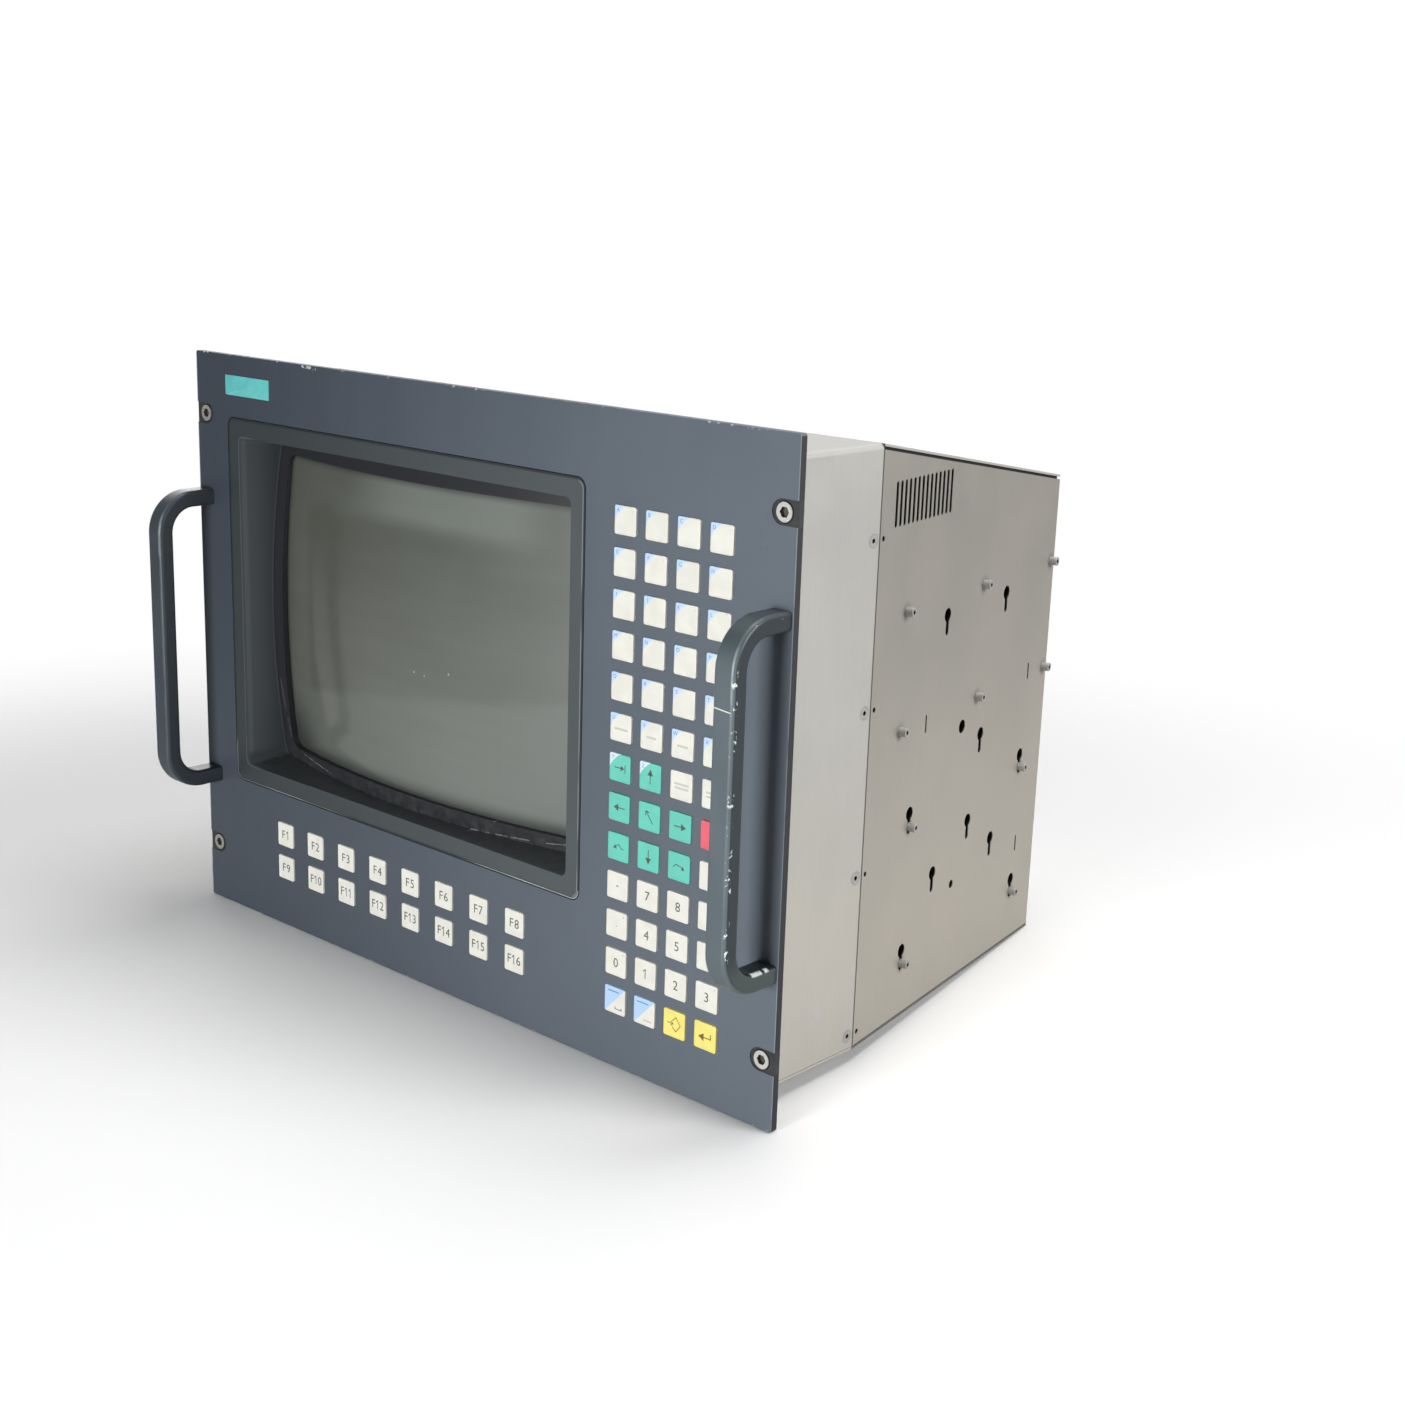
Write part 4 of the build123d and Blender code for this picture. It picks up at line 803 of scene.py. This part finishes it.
def plate_enamel():
    """Teal enamel of the bare plate"""
    finish = Finish("plate_enamel", tone(60, 162, 156), 0.38)
    clouds = finish.noise(6 * MM, 3.0)
    finish.feed("Base Color", finish.mix(clouds.ramp(0.3, 0.7), tone(97, 189, 188), tone(107, 199, 197)))
    finish.feed("Roughness", clouds.ramp(0.3, 0.7, 0.32, 0.45))
    finish.bump(finish.noise(0.8 * MM), 0.008 * MM)
    return finish.material


# Colours of the keys and of their inks
WHITE_KEY = tone(238, 237, 227)
GREEN_KEY = tone(110, 209, 191)
LIGHT_BLUE = tone(186, 217, 248)
PALE_BLUE = tone(222, 236, 248)
RED_KEY = tone(238, 108, 122)
YELLOW_KEY = tone(250, 237, 132)
INKS = {"dark": tone(88, 91, 85), "brown": tone(124, 98, 52), "blue": tone(108, 150, 204),
        "pale": tone(206, 203, 195), "red": tone(212, 84, 84)}


def dress(node, material):
    """A CAD node in its finish"""
    nodes[node].data.materials.clear()
    nodes[node].data.materials.append(material)


# Modelling tools

def choose(piece, kind, wanted):
    """Ends in edit mode with just the wanted edges or faces of the piece selected"""
    if piece.mode == "EDIT":
        bpy.ops.object.mode_set(mode="OBJECT")
    pick(piece)
    bpy.ops.object.mode_set(mode="EDIT")
    bpy.ops.mesh.select_mode(type=kind)
    bpy.ops.mesh.select_all(action="DESELECT")
    bpy.ops.object.mode_set(mode="OBJECT")
    for part in piece.data.edges if kind == "EDGE" else piece.data.polygons:
        part.select = wanted(part)
    bpy.ops.object.mode_set(mode="EDIT")


def choose_edges(piece, wanted):
    choose(piece, "EDGE", lambda edge: wanted(*(piece.data.vertices[v].co for v in edge.vertices)))


def choose_faces(piece, wanted):
    choose(piece, "FACE", wanted)


def finish_shape(piece, name):
    bpy.ops.object.mode_set(mode="OBJECT")
    pick(piece)
    bpy.ops.object.shade_smooth_by_angle(angle=SMOOTH_ANGLE)
    piece.name = name


def slab(low, high):
    """Block between two corners"""
    deselect()
    bpy.ops.mesh.primitive_cube_add(size=1, location=(low + high) / 2)
    block = bpy.context.object
    block.scale = high - low
    bpy.ops.object.transform_apply(location=True, rotation=False, scale=True)
    return block


def join(pieces):
    pick(*pieces)
    if len(pieces) > 1:
        bpy.ops.object.join()
    return bpy.context.object


def copy_to(piece, offset, name):
    """Copy with its own mesh, moved by offset"""
    copied = piece.copy()
    copied.data = piece.data.copy()
    copied.data.transform(Matrix.Translation(offset))
    copied.name = name
    bpy.context.collection.objects.link(copied)
    return copied


# Keys

def key_cap():
    """The cap of the first function key: round corners, a low rim round a shallow dish, and a flange behind
    the panel"""
    low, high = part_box("key_f1")
    centre = (low + high) / 2
    half = (high.x - low.x) / 2 - FLANGE_RIM
    flange_front = high.y - FLANGE_DEPTH
    cap = slab(Vector((centre.x - half, low.y, centre.z - half)),
               Vector((centre.x + half, flange_front, centre.z + half)))
    choose_edges(cap, lambda a, b: abs(a.y - b.y) > MM)
    bpy.ops.mesh.bevel(offset=CAP_CORNER, segments=5, affect="EDGES")
    choose_edges(cap, lambda a, b: max(a.y, b.y) < low.y + 0.01 * MM)
    bpy.ops.mesh.bevel(offset=CAP_EDGE, segments=2, affect="EDGES")
    choose_faces(cap, lambda face: face.normal.y < -0.99)
    bpy.ops.mesh.inset(thickness=CAP_RIM)
    bpy.ops.mesh.inset(thickness=CAP_DISH)
    bpy.ops.transform.translate(value=(0, CAP_DISH, 0))
    choose_faces(cap, lambda face: face.normal.y > 0.9)
    bpy.ops.mesh.extrude_region_move()
    grow = (high.x - low.x) / 2 / half
    bpy.ops.transform.resize(value=(grow, 1, grow), center_override=(centre.x, flange_front, centre.z))
    bpy.ops.mesh.extrude_region_move(TRANSFORM_OT_translate={"value": (0, high.y - flange_front, 0)})
    finish_shape(cap, "key_cap")
    layer = cap.data.uv_layers[0]
    for corner in cap.data.loops:
        place = (cap.data.vertices[corner.vertex_index].co - centre) / (2 * half)
        layer.data[corner.index].uv = (place.x + 0.5, place.z + 0.5)
    return cap


def ink_glyph(sign, height, place):
    """Flat sign of the font with that height of capitals, its middle at a place of the key's face"""
    deselect()
    bpy.ops.object.text_add()
    piece = bpy.context.object
    piece.data.body = sign
    piece.data.size = height / CAPITAL_SHARE
    piece.data.resolution_u = 4
    bpy.ops.object.convert(target="MESH")
    corners = [vertex.co for vertex in piece.data.vertices]
    middle = [(min(c[axis] for c in corners) + max(c[axis] for c in corners)) / 2 for axis in (0, 1)]
    piece.data.transform(Matrix.Translation((place[0] * MM - middle[0], place[1] * MM - middle[1], 0)))
    return piece


def ink_text(words, height, place=(0, 0)):
    """Signs in an evenly spaced row; a one is a straight line with a flag"""
    tall = height / MM
    pieces = []
    for number, sign in enumerate(words):
        across = place[0] + (number - (len(words) - 1) / 2) * LEGEND_STEP[len(words) - 1] * tall
        if sign == "1":
            top = place[1] + tall * 0.45
            flag = [(across - 0.24 * tall, top - 0.2 * tall), (across, top), (across, place[1] - tall * 0.45)]
            pieces.append(join(ink_path(flag, 0.1 * tall)))
        else:
            pieces.append(ink_glyph(sign, height, (across, place[1])))
    return join(pieces)


def ink_stroke(start, end, width=0.55):
    """Straight line of ink between two places of the key's face, in millimetres from its middle"""
    start = Vector(start) * MM
    end = Vector(end) * MM
    along = end - start
    deselect()
    bpy.ops.mesh.primitive_plane_add(size=1)
    piece = bpy.context.object
    piece.scale = (along.length + width * MM, width * MM, 1)
    piece.rotation_euler = (0, 0, math.atan2(along.y, along.x))
    piece.location = ((start.x + end.x) / 2, (start.y + end.y) / 2, 0)
    bpy.ops.object.transform_apply()
    return piece


def ink_head(place, turn, size):
    """Solid arrow head that points along turn, in degrees from the right"""
    deselect()
    bpy.ops.mesh.primitive_circle_add(vertices=3, radius=size * MM, fill_type="NGON")
    piece = bpy.context.object
    piece.rotation_euler = (0, 0, math.radians(turn - 90))
    piece.location = (place[0] * MM, place[1] * MM, 0)
    bpy.ops.object.transform_apply()
    return piece


def ink_path(places, width=0.55):
    return [ink_stroke(start, end, width) for start, end in zip(places, places[1:])]


def ink_sign(name):
    """The lines of a sign and its head"""
    paths, width, head = SIGNS[name]
    pieces = [stroke for path in paths for stroke in ink_path(path, width)]
    if head:
        pieces.append(ink_head(head[:2], head[2], head[3]))
    return pieces


def ink_ring(centre, radius, width):
    """Ring of short lines"""
    turns = [2 * math.pi * side / RING_SIDES for side in range(RING_SIDES + 1)]
    places = [(centre[0] + radius * math.cos(turn), centre[1] + radius * math.sin(turn)) for turn in turns]
    return ink_path(places, width)


def printed(pieces, ink, name, centre):
    """Flat signs joined, given a thin body of ink and laid on the dish of a cap"""
    sign = join(pieces)
    sign.data.materials.clear()
    sign.data.materials.append(ink)
    pick(sign)
    bpy.ops.object.modifier_add(type="SOLIDIFY")
    sign.modifiers[-1].thickness = 2 * LEGEND_RAISE
    sign.modifiers[-1].offset = 0
    bpy.ops.object.modifier_apply(modifier=sign.modifiers[-1].name)
    dish_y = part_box("key_f1")[0].y + CAP_DISH
    facing_front = Matrix.Rotation(math.pi / 2, 4, "X")
    sign.data.transform(Matrix.Translation((centre.x, dish_y, centre.z)) @ facing_front)
    sign.name = name
    return sign


def small_marks(row, column):
    """Short ticks at the upper right of some keys"""
    return [ink_stroke((5.2, 5.6), (5.2, 4.9), 0.3)] if (row + 2 * column) % 3 == 0 else []


def key_with(cap, name, centre, finish, signs):
    """Cap at its place in its finish, joined with its printed signs, each given as pieces and their ink"""
    placed = copy_to(cap, centre - centre_of("key_f1"), name)
    placed.data.materials.clear()
    placed.data.materials.append(finish)
    prints = [printed(pieces, ink, f"{name}_print", centre) for pieces, ink in signs if pieces]
    key = join([placed] + prints)
    key.name = name
    key.data.name = name
    return key


def single_key(cap, name, finish, signs):
    """One key with its signs, which moves as the plain cap did"""
    key = key_with(cap, f"{name}_cap", centre_of(name), finish, signs)
    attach(key, name)
    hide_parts(name)


def letter_key_look(row, column, finishes, inks):
    """Finish and signs of a key in the keypad's upper rows"""
    place = row * KEYPAD_COLUMNS + column
    marks = [(small_marks(row, column), inks["pale"])]
    if place >= len(LETTERS):
        bars = ink_path([(-4.4, 0.9), (4.4, 0.9)], 1.2) + ink_path([(-4.0, -1.3), (4.2, -1.3)], 1.2)
        return finishes["white"], marks + [(bars, inks["pale"])]
    signs = [([ink_text(LETTERS[place], LETTER_TEXT, LETTER_SPOT)], inks["blue"])] + marks
    if row == LETTER_ROWS - 1:
        return finishes["green_letter"], signs + [(ink_sign(GREEN_LETTER_SIGNS[column]), inks["dark"])]
    if row == LETTER_ROWS - 2 and column < len(BAR_REACHES):
        reach = BAR_REACHES[column]
        signs.append((ink_path([(-reach, -0.8), (reach, -0.8)], 1.2), inks["pale"]))
    return finishes["letter"], signs


def add_letter_keys(cap, finishes, inks):
    """The keypad's upper rows: letters in the corners, two green keys and some plain bars"""
    low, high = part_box("letter_keys")
    half = (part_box("key_f1")[1].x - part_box("key_f1")[0].x) / 2
    step = (high.x - low.x - 2 * half) / (KEYPAD_COLUMNS - 1)
    keys = []
    for row in range(LETTER_ROWS):
        for column in range(KEYPAD_COLUMNS):
            centre = Vector((low.x + half + column * step, (low.y + high.y) / 2, high.z - half - row * step))
            finish, signs = letter_key_look(row, column, finishes, inks)
            name = f"letter_key_{row * KEYPAD_COLUMNS + column}"
            keys.append(key_with(cap, name, centre, finish, signs))
    group = join(keys)
    group.name = "letter_key_caps"
    group.data.name = group.name
    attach(group, "panel_unit")
    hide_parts("letter_keys")


def add_function_keys(cap, finish, ink):
    """Both rows of function keys"""
    for column in range(FUNCTION_COLUMNS):
        for row in range(FUNCTION_ROWS):
            number = column + 1 + FUNCTION_COLUMNS * row
            signs = [([ink_text(f"F{number}", FUNCTION_TEXT)], ink)]
            single_key(cap, f"key_f{number}", finish, signs)


def add_digit_keys(cap, finish, inks):
    """The ten digits"""
    for digit in range(10):
        signs = [([ink_text(str(digit), DIGIT_TEXT)], inks["dark"]), (small_marks(digit, 0), inks["blue"])]
        single_key(cap, f"key_{digit}", finish, signs)


def add_coloured_keys(cap, finishes, inks):
    """Six green keys, two yellow ones and a red one"""
    for sign in ("left", "home", "right", "previous", "down", "next"):
        single_key(cap, f"key_{sign}", finishes["green"], [(ink_sign(sign), inks["dark"])])
    for sign in ("input", "enter"):
        single_key(cap, f"key_{sign}", finishes["yellow"], [(ink_sign(sign), inks["brown"])])
    single_key(cap, "key_red", finishes["red"], [])


def add_last_keys(cap, finishes, inks):
    """The white keys among the digits, and two half blue ones"""
    white = finishes["white"]
    single_key(cap, "key_symbol", white, [(ink_ring((3.4, -0.6), 1.0, 0.3), inks["red"])])
    single_key(cap, "key_minus", white, [(ink_path([(-0.5, 0), (0.5, 0)]), inks["dark"])])
    point = ink_path([(0, -0.9), (0, -1.0)], 0.5) + small_marks(0, 0)
    single_key(cap, "key_point", white, [(point, inks["dark"])])
    signs = [(ink_sign("space"), inks["dark"]), (ink_path(TOP_BAR, 0.7), inks["blue"])]
    single_key(cap, "key_space", finishes["split"], signs)
    low_bar = ink_path([(0.2, -4.5), (5.0, -4.5)], 0.9)
    signs = [(low_bar, inks["pale"]), (ink_path(TOP_BAR, 0.7), inks["blue"])]
    single_key(cap, "key_shift", finishes["split"], signs)


def add_keys():
    """Every key of the keypad and both function rows, in place of the plain caps"""
    cap = key_cap()
    inks = {name: legend_ink(f"ink_{name}", colour) for name, colour in INKS.items()}
    finishes = {
        "white": key_plastic("key_white", WHITE_KEY),
        "letter": key_plastic("key_letter", WHITE_KEY, tone(198, 223, 247), 0.52, 0.12, 2.4),
        "green": key_plastic("key_green", GREEN_KEY),
        "green_letter": key_plastic("key_green_letter", GREEN_KEY, PALE_BLUE, 0.52, 0.03, 1.6),
        "red": key_plastic("key_red", RED_KEY),
        "yellow": key_plastic("key_yellow", YELLOW_KEY),
        "split": key_plastic("key_split", WHITE_KEY, LIGHT_BLUE),
    }
    add_letter_keys(cap, finishes, inks)
    add_function_keys(cap, finishes["white"], inks["dark"])
    add_digit_keys(cap, finishes["white"], inks)
    add_coloured_keys(cap, finishes, inks)
    add_last_keys(cap, finishes, inks)
    bpy.data.objects.remove(cap)


# Bare plate

def add_plate():
    """Thin plate with round corners on the panel's upper left"""
    face_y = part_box("front_panel")[0].y
    plate = slab(Vector((PLATE_LEFT, face_y - PLATE_RAISE, PLATE_LOW)),
                 Vector((PLATE_RIGHT, face_y, PLATE_HIGH)))
    choose_edges(plate, lambda a, b: abs(a.y - b.y) > PLATE_RAISE / 2)
    bpy.ops.mesh.bevel(offset=PLATE_ROUND, segments=4, affect="EDGES")
    choose_edges(plate, lambda a, b: max(a.y, b.y) < face_y - PLATE_RAISE * 0.9)
    bpy.ops.mesh.bevel(offset=PLATE_RAISE / 4, segments=2, affect="EDGES")
    finish_shape(plate, "bare_plate")
    plate.data.materials.append(plate_enamel())
    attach(plate, "panel_unit")


add_camera()
add_room()
add_lamps()
add_floor()

frame_sheet = frame_sheet_metal()
steel = bright_steel()
black = dull_plastic("black_plastic", tone(40, 42, 44), tone(52, 54, 55))
# The same handle paint twice, as painted shade and light: a darker copy for the left handle and a lighter one
# for the right, each with its own tone for the outer side
left_handle_shaded_tones = (tone(57, 65, 71), tone(64, 72, 78), tone(66, 72, 78))
right_handle_lit_tones = (tone(92, 104, 109), tone(99, 111, 116), tone(47, 55, 60))
rack_steel = screw_steel("rack_screw_steel", tone(218, 217, 212), tone(92, 88, 82), rack_screw_socket)
case_steel = screw_steel("case_screw_steel", tone(186, 184, 180), tone(26, 26, 26), case_screw_socket)
stud_steel = screw_steel("stud_steel", tone(214, 213, 208), tone(78, 76, 72), stud_bore)

dress("front_panel", panel_paint())
dress("rack_bushes", black)
dress("rack_screws", rack_steel)
dress("left_handle", handle_paint("left_handle", *left_handle_shaded_tones, 0.3, 0.0))
dress("right_handle", handle_paint("right_handle", *right_handle_lit_tones, 0.35, 1.0))
dress("panel_screws", steel)
dress("key_board", circuit_board())
dress("screen_bezel", bezel_plastic())
dress("picture_tube", tube_glass())
dress("tube_mount", steel)
dress("deflection_yoke", dull_plastic("yoke_plastic", tone(60, 50, 44), tone(120, 70, 40)))
dress("front_frame", frame_sheet)
dress("rear_housing", housing_sheet_metal())
dress("bottom_plate", frame_sheet)
dress("top_cover", cover_sheet_metal())
dress("case_screws", case_steel)
dress("side_studs", stud_steel)
dress("rear_sockets", black)
dress("monitor_boards", circuit_board())
add_keys()
add_plate()
